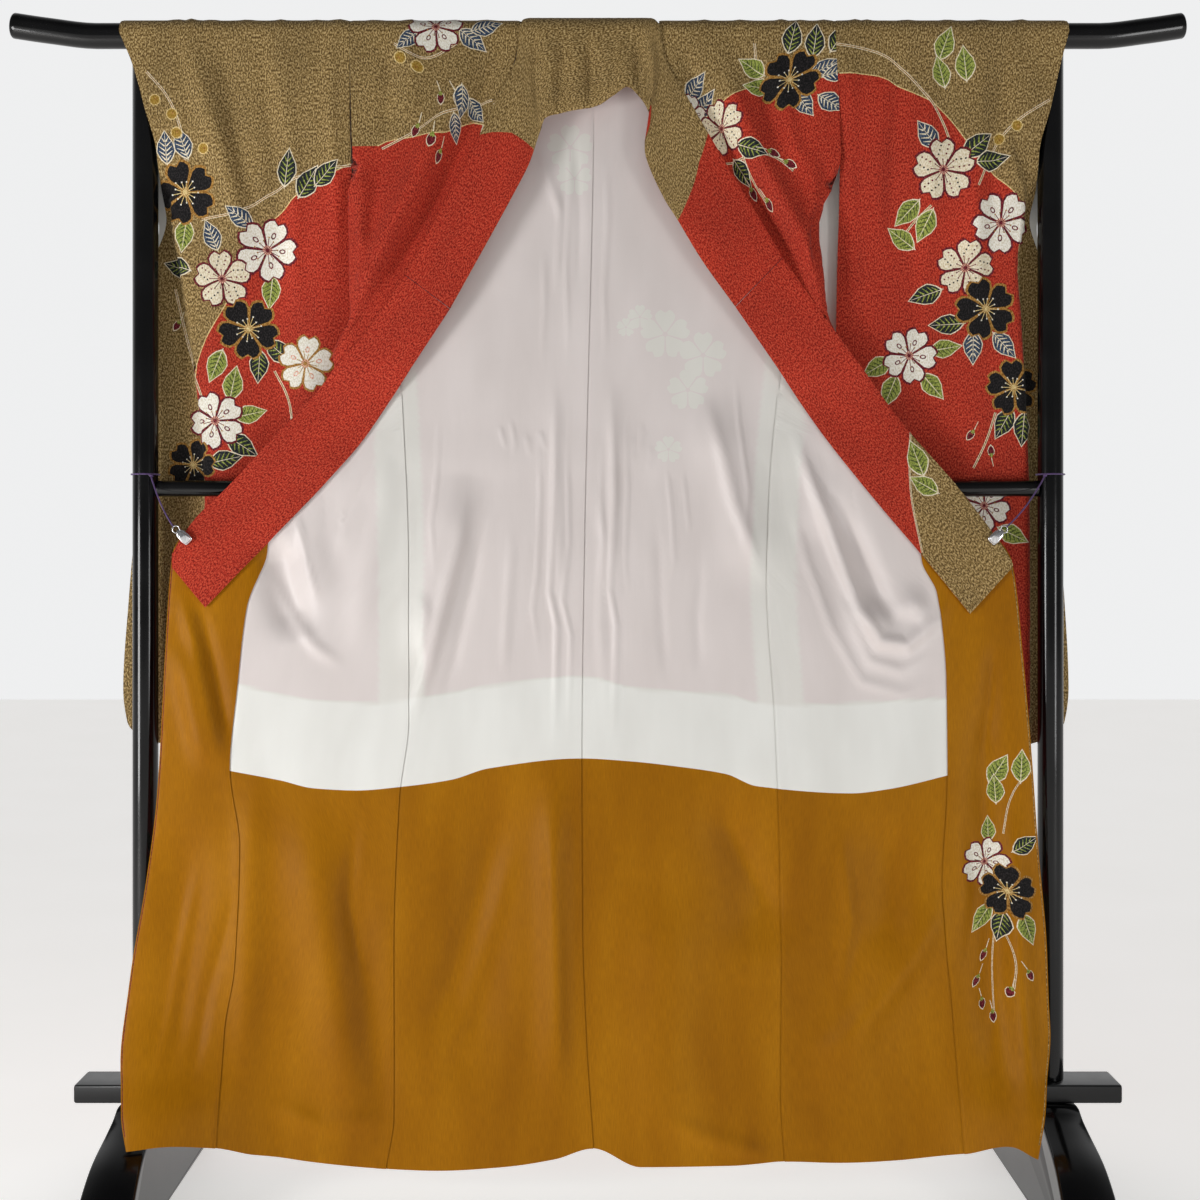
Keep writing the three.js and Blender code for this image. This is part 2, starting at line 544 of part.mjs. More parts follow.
const SLEEVE_ROWS = 13;            // rows of each layer
const SLEEVE_TURN = 3;             // rows over each half of the rod
function makeSleeve(name, table) {
  const turnStart = SLEEVE_ROWS;
  const turnEnd = SLEEVE_ROWS + 2 * SLEEVE_TURN;
  const height = (share) => lerp(SLEEVE_FOOT, ROD_Z, share);
  const grid = makeGrid(2 * SLEEVE_ROWS + 2 * SLEEVE_TURN, SLEEVE_COLUMNS, (i, j) => {
    if (j <= turnStart) return sleeveSection(table, height(j / SLEEVE_ROWS), true)[i];
    if (j >= turnEnd) return sleeveSection(table, height(1 - (j - turnEnd) / SLEEVE_ROWS), false)[i];
    const t = (j - turnStart) / SLEEVE_TURN - 1;
    const end = sleeveSection(table, ROD_Z, t < 0)[i];
    const radius = lerp(TURN_R + OUTER_OFFSET, Math.abs(end.y), Math.abs(t));
    return V(end.x, radius * Math.sin(t * 90 * RAD), ROD_Z + radius * Math.cos(t * 90 * RAD));
  });
  add(name, wall(grid, normalsOf(grid), CLOTH), ...CREPE_LOOK);
}

// ---------------------------------------------------------------- collar
const COLLAR_GAP = CLOTH + SEAM + COLLAR_CLOTH / 2;
// Columns: seam x, degrees that the seam edge lies round the rod, seam z, free-edge x, free-edge z.
const NAPE = [
  [-272, 0, 1310, -209, 1263],
  [-233, 0, 1383, -170, 1333],
  [-190, 0, 1462, -124, 1417],
  [-146, 0, 1555, -96, 1472],
  [-118, 0, 1612, -84, 1508],
  [-104, 60, 1657, -74, 1533],
  [-82, 120, 1657, -54, 1540],
  [-45, 138, 1657, -28, 1545],
  [0, 138, 1657, 0, 1551],
  [32, 138, 1657, 22, 1565],
  [56, 128, 1657, 42, 1577],
  [70, 105, 1657, 60, 1562],
  [79, 60, 1657, 74, 1530],
  [98, 0, 1612, 66, 1490],
  [127, 0, 1562, 91, 1424],
  [187, 0, 1459, 113, 1388],
  [220, 0, 1405, 146, 1333],
  [261, 0, 1335, 194, 1266],
];
const NAPE_R = ROD_R + COLLAR_GAP + 2.6;
const NAPE_ARC_COLUMNS = 4;
const NAPE_COLUMNS = 7;
const NAPE_ROWS_EACH = 2;          // rows for each line of the table
const collarY = (z) => column(CHEST_Y, z, 1) - COLLAR_GAP - SEAM;

function makeOverCollar() {
  const key = NAPE.map((row, k) => [-k, ...row]);
  const rows = Math.round((NAPE.length - 1) * NAPE_ROWS_EACH);
  const grid = makeGrid(rows, NAPE_COLUMNS, (i, j) => {
    const read = (k) => column(key, -j / NAPE_ROWS_EACH, k);
    const [seamX, wrap, seamZ, freeX, freeZ] = [1, 2, 3, 4, 5].map(read);
    const straight = ROD_Z - freeZ;
    const arc = NAPE_R * wrap * RAD;
    if (wrap < 1) {
      const u = i / NAPE_COLUMNS;
      const z = lerp(seamZ, freeZ, u);
      return V(lerp(seamX, freeX, u), collarY(z), z);
    }
    const onArc = Math.min(i / NAPE_ARC_COLUMNS, 1);
    const down = Math.max(i - NAPE_ARC_COLUMNS, 0) / (NAPE_COLUMNS - NAPE_ARC_COLUMNS);
    const u = (arc * onArc + straight * down) / (arc + straight);
    const x = lerp(seamX, freeX, u);
    if (down > 0) {
      const z = lerp(ROD_Z, freeZ, down);
      return V(x, lerp(-NAPE_R, collarY(z) - 1, smooth(2 * down)), z);
    }
    const a = (1 - onArc) * wrap * RAD;
    return V(x, -NAPE_R * Math.cos(a), ROD_Z + NAPE_R * Math.sin(a));
  });
  add('over_collar', wall(grid, normalsOf(grid), COLLAR_CLOTH), ...CREPE_LOOK);
}

// Free edge of the collar below the over-collar: height, place x.
const FREE_LEFT = [[1263, -209], [1209, -245], [1142, -290], [1077, -335], [1023, -381], [929, -470],
  [841, -553]];
const FREE_RIGHT = [[1266, 194], [1183, 252], [1077, 326], [985, 399], [918, 455], [832, 524]];
// Where each collar end begins, just below the over-collar: height, place x.
const COLLAR_END_LEFT = { seam: [1309.6, -272.3], free: [1262.6, -209.3] };
const COLLAR_END_RIGHT = { seam: [1334.6, 261.3], free: [1265.6, 194.3] };
const COLLAR_FOOT = 898;
const LINING_TO_COLLAR = 3.5;
const COLLAR_ROWS = 12;
const COLLAR_COLUMNS = 3;
function makeCollarEnd(name, seamLine, freeLine) {
  const grid = makeGrid(COLLAR_ROWS, COLLAR_COLUMNS, (i, j) => {
    const [u, v] = [i / COLLAR_COLUMNS, j / COLLAR_ROWS];
    const seamZ = lerp(seamLine[0][0], COLLAR_FOOT, v);
    const freeZ = lerp(freeLine[0][0], freeLine.at(-1)[0], v);
    const x = lerp(column(seamLine, seamZ, 1), column(freeLine, freeZ, 1), u);
    const z = lerp(seamZ, freeZ, u);
    return V(x, collarEndY(x, z), z);
  });
  add(name, wall(grid, normalsOf(grid), COLLAR_CLOTH), ...CREPE_LOOK);
}
// Before the chest above, and before the lining below.
function collarEndY(x, z) {
  const overLining = bodyY(x, z) - SEAM / 2 - LINING - LINING_TO_COLLAR - COLLAR_CLOTH / 2;
  return lerp(Math.min(collarY(z), overLining), overLining, smooth((FOLD_FOOT + 40 - z) / 80));
}
const below = (table, start) => [start, ...table.filter(([z]) => z < start[0] - 4)];

// ---------------------------------------------------------------- clips
// Place of each jaw: side, name, x.
const CLIPS = [[-1, 'left', -583], [1, 'right', 561]];
const CLIP = { wide: 24, deep: 9, high: 15, z: 941, turn: 45 };
const CORD_ON_JAW = 5.7;           // the cord leaves the jaw this far from its middle, out and up
const TIE_R = 1.1;
const TIE_Z = 1030;
const TIE_SIDES = 6;
const TIE_STEPS = 8;
const TIE_SAG = [4, 6];            // the cord's middle hangs this far forward and down
const LOOP_R = POST_R + SEAM + TIE_R + 0.15;
const LOOP_STEPS = 24;
const KNOT = { x: 0.6, y: 0.8, drop: 1.8 };   // the cord ends under this point of its loop
const BOW = 0.5;
function makeClips() {
  for (const [side, name, x] of CLIPS) {
    const y = clipY(x) - CLIP.deep / 2;
    const jaw = new THREE.BoxGeometry(CLIP.wide, CLIP.deep, CLIP.high);
    jaw.rotateY(side * CLIP.turn * RAD);
    add(`clip_${name}`, jaw, STEEL, 0.2, 1).position.set(x, y, CLIP.z);
    const loop = new THREE.TorusGeometry(LOOP_R, TIE_R, TIE_SIDES, LOOP_STEPS);
    loop.translate(side * POST_X, 0, TIE_Z);
    const start = V(x + side * CORD_ON_JAW, y, CLIP.z + CORD_ON_JAW);
    const end = V(side * (POST_X - LOOP_R * KNOT.x), -LOOP_R * KNOT.y, TIE_Z - KNOT.drop);
    const middle = start.clone().lerp(end, 0.5).add(V(0, -TIE_SAG[0], -TIE_SAG[1]));
    add(`tie_${name}`, roundBar([start, middle, end], TIE_R, TIE_SIDES, TIE_STEPS), PURPLE, 0.7);
    add(`tie_loop_${name}`, loop, PURPLE, 0.7);
  }
}
// The back of a jaw rests before the foremost point of the collar under it, which bows out a little less.
function clipY(x) {
  const reach = [-1, 0, 1].map((t) => (t * (CLIP.wide + CLIP.high)) / 2 * Math.SQRT1_2);
  const under = reach.flatMap((dx) => reach.map((dz) => collarEndY(x + dx, CLIP.z + dz)));
  return Math.min(...under) - COLLAR_CLOTH / 2 - SEAM + BOW;
}

// ---------------------------------------------------------------- assembly
makeRod();
makePosts();
makeBeam();
makeFeet();
makeBody();
makeSleeve('sleeve_left', SLEEVE_LEFT);
makeSleeve('sleeve_right', SLEEVE_RIGHT);
makeOverCollar();
const seamLeft = below(COLLAR_SEAM_LEFT, COLLAR_END_LEFT.seam);
makeCollarEnd('collar_end_left', seamLeft, below(FREE_LEFT, COLLAR_END_LEFT.free));
const seamRight = below(COLLAR_SEAM_RIGHT, COLLAR_END_RIGHT.seam);
makeCollarEnd('collar_end_right', seamRight, below(FREE_RIGHT, COLLAR_END_RIGHT.free));
makeClips();

export default group;
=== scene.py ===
"""Looks of a furisode kimono, opened and hung on a black lacquered kimono stand.

Tables and sizes are in millimetres, +Z up, the front of the kimono faces -Y. Meshes are made in metres.
"left" and "right" are as seen from the front.
"""
import math

import bmesh
import bpy
import numpy as np
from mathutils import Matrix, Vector
from mathutils.geometry import delaunay_2d_cdt
from mathutils.kdtree import KDTree


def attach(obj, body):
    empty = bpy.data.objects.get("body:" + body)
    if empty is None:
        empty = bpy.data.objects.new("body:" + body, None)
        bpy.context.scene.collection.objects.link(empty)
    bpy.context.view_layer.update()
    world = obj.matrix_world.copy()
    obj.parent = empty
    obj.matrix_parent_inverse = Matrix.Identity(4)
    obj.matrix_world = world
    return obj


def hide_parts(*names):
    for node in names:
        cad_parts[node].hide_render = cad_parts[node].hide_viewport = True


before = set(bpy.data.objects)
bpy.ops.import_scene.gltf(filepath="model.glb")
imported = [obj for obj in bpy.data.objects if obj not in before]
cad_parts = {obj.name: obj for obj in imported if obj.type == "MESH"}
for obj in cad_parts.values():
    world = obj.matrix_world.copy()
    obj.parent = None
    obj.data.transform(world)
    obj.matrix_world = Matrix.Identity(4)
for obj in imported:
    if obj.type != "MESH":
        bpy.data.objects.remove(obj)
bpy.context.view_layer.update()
MM = 0.001

# ---------------------------------------------------------------- sizes shared with the solids
CLOTH = 1.6
LINING = 1.2
COLLAR_CLOTH = 2.4
SEAM = 0.3
POST_X = 647
POST_R = 18
ROD_Z = 1657
ROD_R = 18
ROD_HALF = 836
ROD_BEND_X = 715
ROD_MID_BEND_X = 785
ROD_RISE = 15
RAIL_Z = 1010
RAIL_R = 11.5
BEAM_HALF = 740
BEAM_DEPTH = 64
BEAM_LOW = 141
BEAM_HIGH = 167
FOOT_WIDE_TOP = 52
FOOT_WIDE_TOE = 78
FOOT_HALF = 222
FOOT_ARCH = 38
FOOT_ARCH_HALF = 150


def lerp(a, b, t):
    return a + (b - a) * t


def smooth(t):
    t = np.clip(t, 0, 1)
    return t * t * (3 - 2 * t)


def bell(distance, half):
    return np.exp(-((distance / half) ** 2))


def column(table, key, index=1):
    """A column of a table at key, along a smooth curve that never overshoots its rows."""
    rows = np.array(sorted(table), float)
    x, y = rows[:, 0], rows[:, index]
    step = np.diff(x)
    slope = np.diff(y) / step
    tangent = np.zeros(len(x))
    tangent[0], tangent[-1] = slope[0], slope[-1]
    before, after = slope[:-1], slope[1:]
    same = before * after > 0
    total = np.where(same, before + after, 1)
    tangent[1:-1] = np.where(same, 2 * before * after / total, 0)
    key = np.clip(key, x[0], x[-1])
    k = np.clip(np.searchsorted(x, key) - 1, 0, len(x) - 2)
    h = step[k]
    t = (key - x[k]) / h
    return (
        y[k] * (1 + 2 * t) * (1 - t) ** 2
        + y[k + 1] * t * t * (3 - 2 * t)
        + tangent[k] * h * t * (1 - t) ** 2
        - tangent[k + 1] * h * t * t * (1 - t)
    )


def put(name, data):
    """A new object of the scene."""
    made = bpy.data.objects.new(name, data)
    bpy.context.scene.collection.objects.link(made)
    return made


def tree_of(points):
    tree = KDTree(len(points))
    for k, point in enumerate(points):
        tree.insert(point, k)
    tree.balance()
    return tree


def away_from(places, points, gap):
    """The flat places that are further than gap from each of the flat points."""
    tree = tree_of([(a, b, 0) for a, b in points])
    return places[[tree.find((a, b, 0))[2] > gap for a, b in places]]


# ---------------------------------------------------------------- seams and edges of the opened body
# Height z, place x.
EDGE_LEFT = [(920, -600), (737, -611), (570, -620), (449, -635), (322, -654), (235, -661),
             (151, -649), (107, -637)]
OKUMI_SEAM_LEFT = [(1091, -450), (918, -471), (839, -497), (730, -509), (613, -519), (502, -504),
                   (338, -510), (251, -523), (97, -528)]
SIDE_SEAM_LEFT = [(1657, -352), (1484, -347), (1340, -300), (1135, -280), (881, -269), (683, -268),
                  (569, -281), (369, -288), (128, -287), (60, -297)]
CENTRE_SEAM = [(1650, -5), (1380, -10), (1135, -16), (953, -20), (630, -24), (390, -23), (247, -18),
               (80, -7)]
SIDE_SEAM_RIGHT = [(1657, 336), (1484, 343), (1340, 285), (1135, 256), (1008, 244), (881, 239),
                   (665, 251), (373, 259), (160, 257), (62, 262)]
OKUMI_SEAM_RIGHT = [(1089, 442), (906, 459), (860, 480), (737, 492), (605, 493), (445, 485),
                    (274, 498), (88, 508)]
EDGE_RIGHT = [(905, 587), (774, 598), (630, 610), (499, 618), (358, 628), (260, 629), (181, 616),
              (95, 596)]
COLLAR_SEAM_LEFT = [(1657, -116), (1636, -119), (1595, -129), (1555, -146), (1505, -168),
                    (1417, -212), (1383, -233), (1314, -274), (1233, -326), (1187, -367),
                    (1151, -395), (1094, -449), (1011, -525), (961, -573), (916, -600)]
COLLAR_SEAM_RIGHT = [(1657, 98), (1636, 100), (1562, 129), (1508, 159), (1459, 187), (1405, 220),
                     (1332, 263), (1246, 324), (1172, 380), (1090, 442), (1018, 504), (954, 552),
                     (905, 584)]
# Place x, height z.
HEM = [(-665, 105), (-600, 110), (-530, 98), (-478, 79), (-390, 64), (-300, 56), (-224, 53),
       (-134, 58), (-60, 69), (-7, 84), (60, 58), (187, 60), (259, 66), (336, 64), (425, 68),
       (508, 86), (567, 106), (600, 95), (665, 95)]
LINING_JOIN = [(-530, 613), (-447, 597), (-400, 586), (-340, 583), (-279, 588), (-207, 598),
               (-154, 614), (-24, 628), (45, 624), (117, 616), (181, 606), (224, 589), (357, 579),
               (410, 585), (500, 606)]
# Height z, y at the middle, y at the outer edges.
HANG = [(1657, 19.7, 19.7), (1010, -14.5, -20), (900, -22, -31), (600, -32, -37), (300, -39, -52),
        (200, -42, -80), (140, -45, -114), (60, -48, -140)]
HANG_EDGE_FROM = 430
HANG_EDGE_TO = 640
RAIL_CLEAR = -13.8
BEAM_CLEAR = -35.5

# Large folds: x and z at the top, x and z at the foot, half width, rise towards the front.
FOLDS = [
    (-185, 1040, -262, 740, 34, 11),
    (155, 1150, 232, 860, 40, 12),
    (-62, 1180, -52, 820, 12, 4),
    (22, 1180, 24, 820, 12, 4),
    (300, 985, 372, 812, 34, -9),
    (372, 812, 476, 850, 30, 12),
    (-590, 800, -545, 600, 22, 12),
    (-575, 560, -600, 150, 40, -12),
    (-484, 640, -496, 130, 24, 7),
    (-130, 640, -195, 130, 55, -14),
    (-62, 640, -60, 100, 26, 12),
    (166, 600, 250, 340, 60, -14),
    (490, 460, 300, 140, 42, 15),
    (-420, 590, -330, 90, 45, 14),
    (548, 760, 560, 110, 30, -16),
    (590, 560, 594, 110, 20, 12),
    (100, 460, 90, 60, 60, 12),
    (-350, 500, -300, 90, 30, -8),
    (400, 560, 420, 330, 40, -9),
]
# Fine folds and creases: half width, rise towards the front, path of (x, z).
CREASES = [
    (4, 3.4, [(-60, 1175), (-62, 1010), (-68, 862), (-58, 815), (-62, 622)]),
    (4, 3.4, [(20, 1165), (23, 1000), (17, 865), (26, 815), (21, 640)]),
    (3.2, 2.2, [(-40, 1150), (-43, 1040), (-41, 930), (-50, 850), (-38, 800), (-42, 640)]),
    (3.2, 2.0, [(-84, 1110), (-82, 1000), (-86, 890), (-92, 838), (-82, 760)]),
    (3.2, 2.0, [(40, 1120), (42, 1010), (38, 905), (44, 850)]),
    (3, 1.8, [(6, 1090), (4, 1000), (8, 930), (2, 870)]),
    (3, 1.8, [(96, 1060), (104, 980), (108, 905), (100, 868)]),
    (3, 1.6, [(120, 1040), (124, 1000), (130, 940)]),
    (3, 1.6, [(-124, 1110), (-118, 1072), (-122, 1050)]),
    (3, 1.6, [(-140, 1100), (-132, 1066)]),
    (3, 1.6, [(64, 1104), (58, 1058)]),
    (3, 1.6, [(-370, 1010), (-362, 976), (-366, 950)]),
    (3, 1.5, [(-352, 1024), (-348, 990)]),
    (3.4, 2.2, [(-44, 1560), (-40, 1450), (-46, 1330), (-42, 1190)]),
    (3.4, 2.0, [(10, 1500), (14, 1400), (8, 1290), (12, 1180)]),
    (3.4, 1.8, [(-78, 1360), (-76, 1270), (-82, 1190)]),
    (3.4, 2.0, [(196, 1180), (200, 1100), (212, 1010), (206, 930)]),
    (3.4, 2.0, [(-226, 1120), (-228, 1040), (-236, 960), (-230, 880)]),
    (10, 8, [(-184, 1010), (-196, 930), (-210, 880), (-239, 760), (-269, 660)]),
    (9, -4, [(-160, 980), (-178, 880), (-205, 760), (-226, 690)]),
    (9, 5, [(150, 1150), (178, 1050), (192, 991), (227, 896), (246, 866)]),
    (10, 13, [(270, 1110), (296, 1040), (325, 962), (369, 838), (397, 793), (435, 788), (478, 823), (500, 868)]),
    (15, -15, [(300, 1090), (352, 965), (398, 858), (420, 826), (446, 824), (476, 852)]),
    (8, 4, [(330, 900), (352, 838), (384, 766), (428, 752), (478, 778)]),
    (7, 3, [(268, 1010), (296, 905), (330, 812), (372, 736), (432, 720), (486, 742)]),
    (26, -20, [(-462, 950), (-446, 870), (-420, 790)]),
    (20, -6, [(-330, 1120), (-356, 1040), (-380, 940), (-372, 850)]),
    (22, 6, [(-300, 1100), (-304, 980), (-330, 860), (-350, 760)]),
    (9, 4, [(-470, 900), (-440, 838), (-400, 786), (-352, 752)]),
    (6, 3, [(-430, 985), (-412, 900), (-396, 842)]),
    (5, 2.6, [(-58, 1468), (-55, 1390), (-60, 1280)]),
    (5, -2, [(-30, 1530), (-26, 1400), (-28, 1280)]),
    (6, 2.6, [(-86, 1500), (-66, 1440), (-52, 1392)]),
    (4, 1.6, [(-82, 1092), (-74, 1062)]),
    (4, 1.5, [(-102, 1088), (-96, 1052)]),
    (4, 1.6, [(52, 1084), (48, 1040)]),
    (4, 1.6, [(78, 1070), (70, 1030)]),
    (8, 3, [(-10, 1050), (8, 940), (4, 820), (10, 700)]),
    (7, -2.5, [(84, 980), (88, 860), (96, 730)]),
    (7, 2.6, [(-120, 960), (-128, 840), (-134, 730)]),
    (7, -2.4, [(150, 930), (140, 830), (144, 735)]),
    (12, 8, [(-592, 880), (-566, 790), (-545, 700), (-527, 600)]),
    (12, -6, [(-570, 860), (-545, 760), (-520, 640)]),
    (8, 4, [(-246, 866), (-243, 830), (-250, 760)]),
    (9, 3, [(-68, 570), (-60, 400), (-52, 160)]),
    (18, -5, [(-138, 560), (-176, 420), (-212, 300), (-286, 190)]),
    (14, 4, [(-110, 540), (-146, 400), (-186, 270), (-250, 150)]),
    (18, -5, [(166, 560), (208, 480), (258, 396)]),
    (16, 5, [(500, 436), (430, 330), (352, 246), (284, 208)]),
    (14, 5, [(-470, 150), (-390, 116), (-292, 128)]),
    (13, 5, [(84, 128), (170, 96), (262, 68)]),
    (12, -6, [(560, 800), (556, 700), (544, 620)]),
    (11, 5, [(576, 560), (584, 420), (580, 250)]),
    (10, -4, [(520, 560), (530, 440), (514, 300)]),
    (9, 4, [(-560, 500), (-590, 330), (-612, 170)]),
    (10, -4, [(-500, 470), (-548, 300), (-570, 150)]),
    (10, 4, [(340, 540), (356, 400), (330, 260)]),
    (10, -3.5, [(-340, 560), (-352, 430), (-330, 300)]),
]


FADE_SHARE = 0.3        # creases and folds fade over this share of their length at both ends
FOLD_SHARPNESS = 1.4


def crease_height(x, z, creases):
    """The rise of creases at a place, each along its path, fading towards both ends."""
    shape = np.broadcast(x, z).shape
    rise = np.zeros(shape)
    for half, height, path in creases:
        steps = np.diff(np.array(path, float), axis=0)
        lengths = np.hypot(steps[:, 0], steps[:, 1])
        starts = np.concatenate([[0], np.cumsum(lengths)])
        nearest, along = np.full(shape, 1e9), np.zeros(shape)
        for k, (dx, dz) in enumerate(steps):
            from_x, from_z = x - path[k][0], z - path[k][1]
            t = np.clip((from_x * dx + from_z * dz) / lengths[k] ** 2, 0, 1)
            gap = np.hypot(from_x - t * dx, from_z - t * dz)
            along = np.where(gap < nearest, (starts[k] + t * lengths[k]) / starts[-1], along)
            nearest = np.minimum(gap, nearest)
        fade = smooth(along / FADE_SHARE) * smooth((1 - along) / FADE_SHARE)
        rise = rise + height * fade * bell(nearest, half)
    return rise


def fold_height(x, z, folds):
    rise = np.zeros(np.broadcast(x, z).shape)
    for x1, z1, x2, z2, half, height in folds:
        dx, dz = x2 - x1, z2 - z1
        length = math.hypot(dx, dz)
        along = ((x - x1) * dx + (z - z1) * dz) / length
        across = ((x - x1) * dz - (z - z1) * dx) / length
        end = FADE_SHARE * length
        fade = smooth(along / end) * smooth((length - along) / end)
        rise = rise + height * fade * np.exp(-FOLD_SHARPNESS * (across / half) ** 2)
    return rise


RAIL_REACH, BEAM_REACH = 90, 120    # the back stays in front of the rail and the beam this far up and down


def body_y(x, z):
    edge = smooth((np.abs(x) - HANG_EDGE_FROM) / (HANG_EDGE_TO - HANG_EDGE_FROM))
    hang = lerp(column(HANG, z, 1), column(HANG, z, 2), edge)
    y = hang - fold_height(x, z, FOLDS) - crease_height(x, z, CREASES)
    near_rail = smooth(1 - np.abs(z - RAIL_Z) / RAIL_REACH)
    near_beam = smooth(1 - np.abs(z - (BEAM_LOW + BEAM_HIGH) / 2) / BEAM_REACH)
    y = lerp(y, np.minimum(y, RAIL_CLEAR), near_rail)
    return lerp(y, np.minimum(y, BEAM_CLEAR), near_beam)


# ---------------------------------------------------------------- sheets
class Sheet:
    """A cloth surface on a fine grid.

    points has rows, columns and x, y, z. a and b are the flat cloth's coordinates across and along it.
    outward is 1 where the normals point out of the garment's outer side, and -1 where they point in.
    """

    def __init__(self, points, a, b, outward):
        self.points = points
        self.a = a
        self.b = b
        self.outward = outward
        across = np.gradient(points, axis=1)
        along = np.gradient(points, axis=0)
        normals = np.cross(across, along)
        self.normals = normals / np.maximum(np.linalg.norm(normals, axis=2, keepdims=True), 1e-9)

    def part(self, rows):
        piece = Sheet.__new__(Sheet)
        piece.points, piece.normals = self.points[rows], self.normals[rows]
        piece.a, piece.b, piece.outward = self.a[rows], self.b[rows], self.outward
        return piece

    def outline(self):
        """The flat cut's outline, round once."""
        left = np.stack([self.a[:, 0], self.b], 1)
        right = np.stack([self.a[:, -1], self.b], 1)
        last = np.stack([self.a[-1], np.full(self.a.shape[1], self.b[-1])], 1)
        first = np.stack([self.a[0], np.full(self.a.shape[1], self.b[0])], 1)
        return np.concatenate([left[:-1], last[:-1], right[::-1][:-1], first[::-1][:-1]])

    def sides(self, b):
        """The lower and the higher a of the cut's two sides, at b."""
        start, end = np.interp(b, self.b, self.a[:, 0]), np.interp(b, self.b, self.a[:, -1])
        return np.minimum(start, end), np.maximum(start, end)

    def lift(self, flat):
        """Points and normals of the surface at flat coordinates."""
        rows, columns = self.a.shape
        row = np.interp(flat[:, 1], self.b, np.arange(rows))
        j = np.clip(row.astype(int), 0, rows - 2)
        t = row - j
        start = lerp(self.a[j, 0], self.a[j + 1, 0], t)
        end = lerp(self.a[j, -1], self.a[j + 1, -1], t)
        place = np.clip((flat[:, 0] - start) / (end - start), 0, 1) * (columns - 1)
        i = np.clip(place.astype(int), 0, columns - 2)
        s, t = (place - i)[:, None], t[:, None]

        def read(grid):
            return lerp(lerp(grid[j, i], grid[j, i + 1], s), lerp(grid[j + 1, i], grid[j + 1, i + 1], s), t)

        normals = read(self.normals)
        return read(self.points), normals / np.linalg.norm(normals, axis=1, keepdims=True)

    def flat_of(self, places):
        """Flat coordinates of places (x, z) seen from the front."""
        tree = tree_of(self.points.reshape(-1, 3) * (1, 0, 1))
        d_row = np.gradient(self.points, axis=0)
        d_column = np.gradient(self.points, axis=1)
        b_row = np.gradient(self.b)
        a_column = np.gradient(self.a, axis=1)
        a_row = np.gradient(self.a, axis=0)
        found = []
        for x, z in places:
            j, i = divmod(tree.find((x, 0, z))[1], self.a.shape[1])
            matrix = np.array([[d_column[j, i, 0], d_row[j, i, 0]], [d_column[j, i, 2], d_row[j, i, 2]]])
            miss = np.array([x - self.points[j, i, 0], z - self.points[j, i, 2]])
            folded = abs(np.linalg.det(matrix)) < 1e-3
            step = np.zeros(2) if folded else np.clip(np.linalg.solve(matrix, miss), -30, 30)
            found.append((self.a[j, i] + step[0] * a_column[j, i] + step[1] * a_row[j, i],
                          self.b[j] + step[1] * b_row[j]))
        return np.array(found)


# ---------------------------------------------------------------- opened body
OUTER_OFFSET = SEAM / 2 + CLOTH / 2
LINING_OFFSET = SEAM / 2 + LINING / 2
EDGE_INSET = -0.7   # panels lap this far over their seams
NECK_TOP = 1640
FOLD_FOOT = 1146
OKUMI_TOP = 1084
TURN_ROWS = 3
SHOULDER = 12
JOIN_ROW = 18
LAST_ROW = 25
TURN_R = ROD_R + SEAM / 2 + 1.5
# First row, last row, fine rows for each of them.
ROW_STEPS = [(0, 3, 3), (3, 4, 4), (4, 12, 14), (12, 18, 20), (18, 25, 16)]
FINE_WIDTH = 3.2    # of a column


def fine_rows(first, last):
    rows = [np.arange(low * n, high * n) / n for low, high, n in ROW_STEPS]
    rows = np.append(np.concatenate(rows), LAST_ROW)
    return rows[(rows >= first) & (rows <= last)]


def row_height(row, x):
    upper = np.interp(row, [0, TURN_ROWS, TURN_ROWS + 1, SHOULDER], [ROD_Z, ROD_Z, NECK_TOP, FOLD_FOOT])
    join = column(LINING_JOIN, x)
    middle = lerp(FOLD_FOOT, join, (row - SHOULDER) / (JOIN_ROW - SHOULDER))
    lower = lerp(join, column(HEM, x), (row - JOIN_ROW) / (LAST_ROW - JOIN_ROW))
    return np.where(row <= SHOULDER, upper, np.where(row <= JOIN_ROW, middle, lower))


def between(left, right, u, rows, inset=EDGE_INSET):
    z = row_height(rows, 0 * u)
    x = 0 * z
    for _ in range(5):
        x = lerp(column(left, z) + inset, column(right, z) - inset, u)
        z = row_height(rows, x)
    return x, z


def stack(x, y, z):
    return np.stack(np.broadcast_arrays(x, y, z), -1).astype(float)


def body_point(x, z):
    return stack(x, body_y(x, z), z)


# Small gathers where the cloth bends over the rod: place x, half width, rise.
BUMPS = [(-600, 7, 2.4), (-578, 5, 3.4), (-550, 6, 2), (-500, 9, 1.6), (-452, 6, 2), (-400, 8, 1.4), (-370, 6, 3),
         (-318, 8, 1.6), (-268, 7, 2.2), (-206, 8, 1.6), (-158, 6, 2), (150, 6, 2), (204, 8, 1.8), (260, 6, 2.6),
         (288, 5, 2), (322, 7, 1.8), (366, 6, 2.6), (384, 5, 2), (440, 8, 1.6), (498, 6, 2.2), (548, 8, 1.6),
         (602, 6, 2.4)]


def gathers(x):
    return sum(rise * bell(x - place, half) for place, half, rise in BUMPS)


def turn(x, t, side, end_radius):
    """Over the rod, from its top (t = 0) to the height of its middle (t = 1)."""
    radius = lerp(TURN_R + gathers(x), end_radius, t)
    angle = t * math.pi / 2
    return stack(x, side * radius * np.sin(angle), ROD_Z + radius * np.cos(angle))


def hanging_b(points, rows):
    """The flat coordinate along a hanging sheet: its height downwards, and its arc over the rod."""
    b = -points[:, :, 2].mean(axis=1)
    over = rows < TURN_ROWS
    b[over] = -ROD_Z - TURN_R * (1 - rows[over] / TURN_ROWS) * math.pi / 2
    return np.maximum.accumulate(b + np.arange(len(b)) * 1e-4)


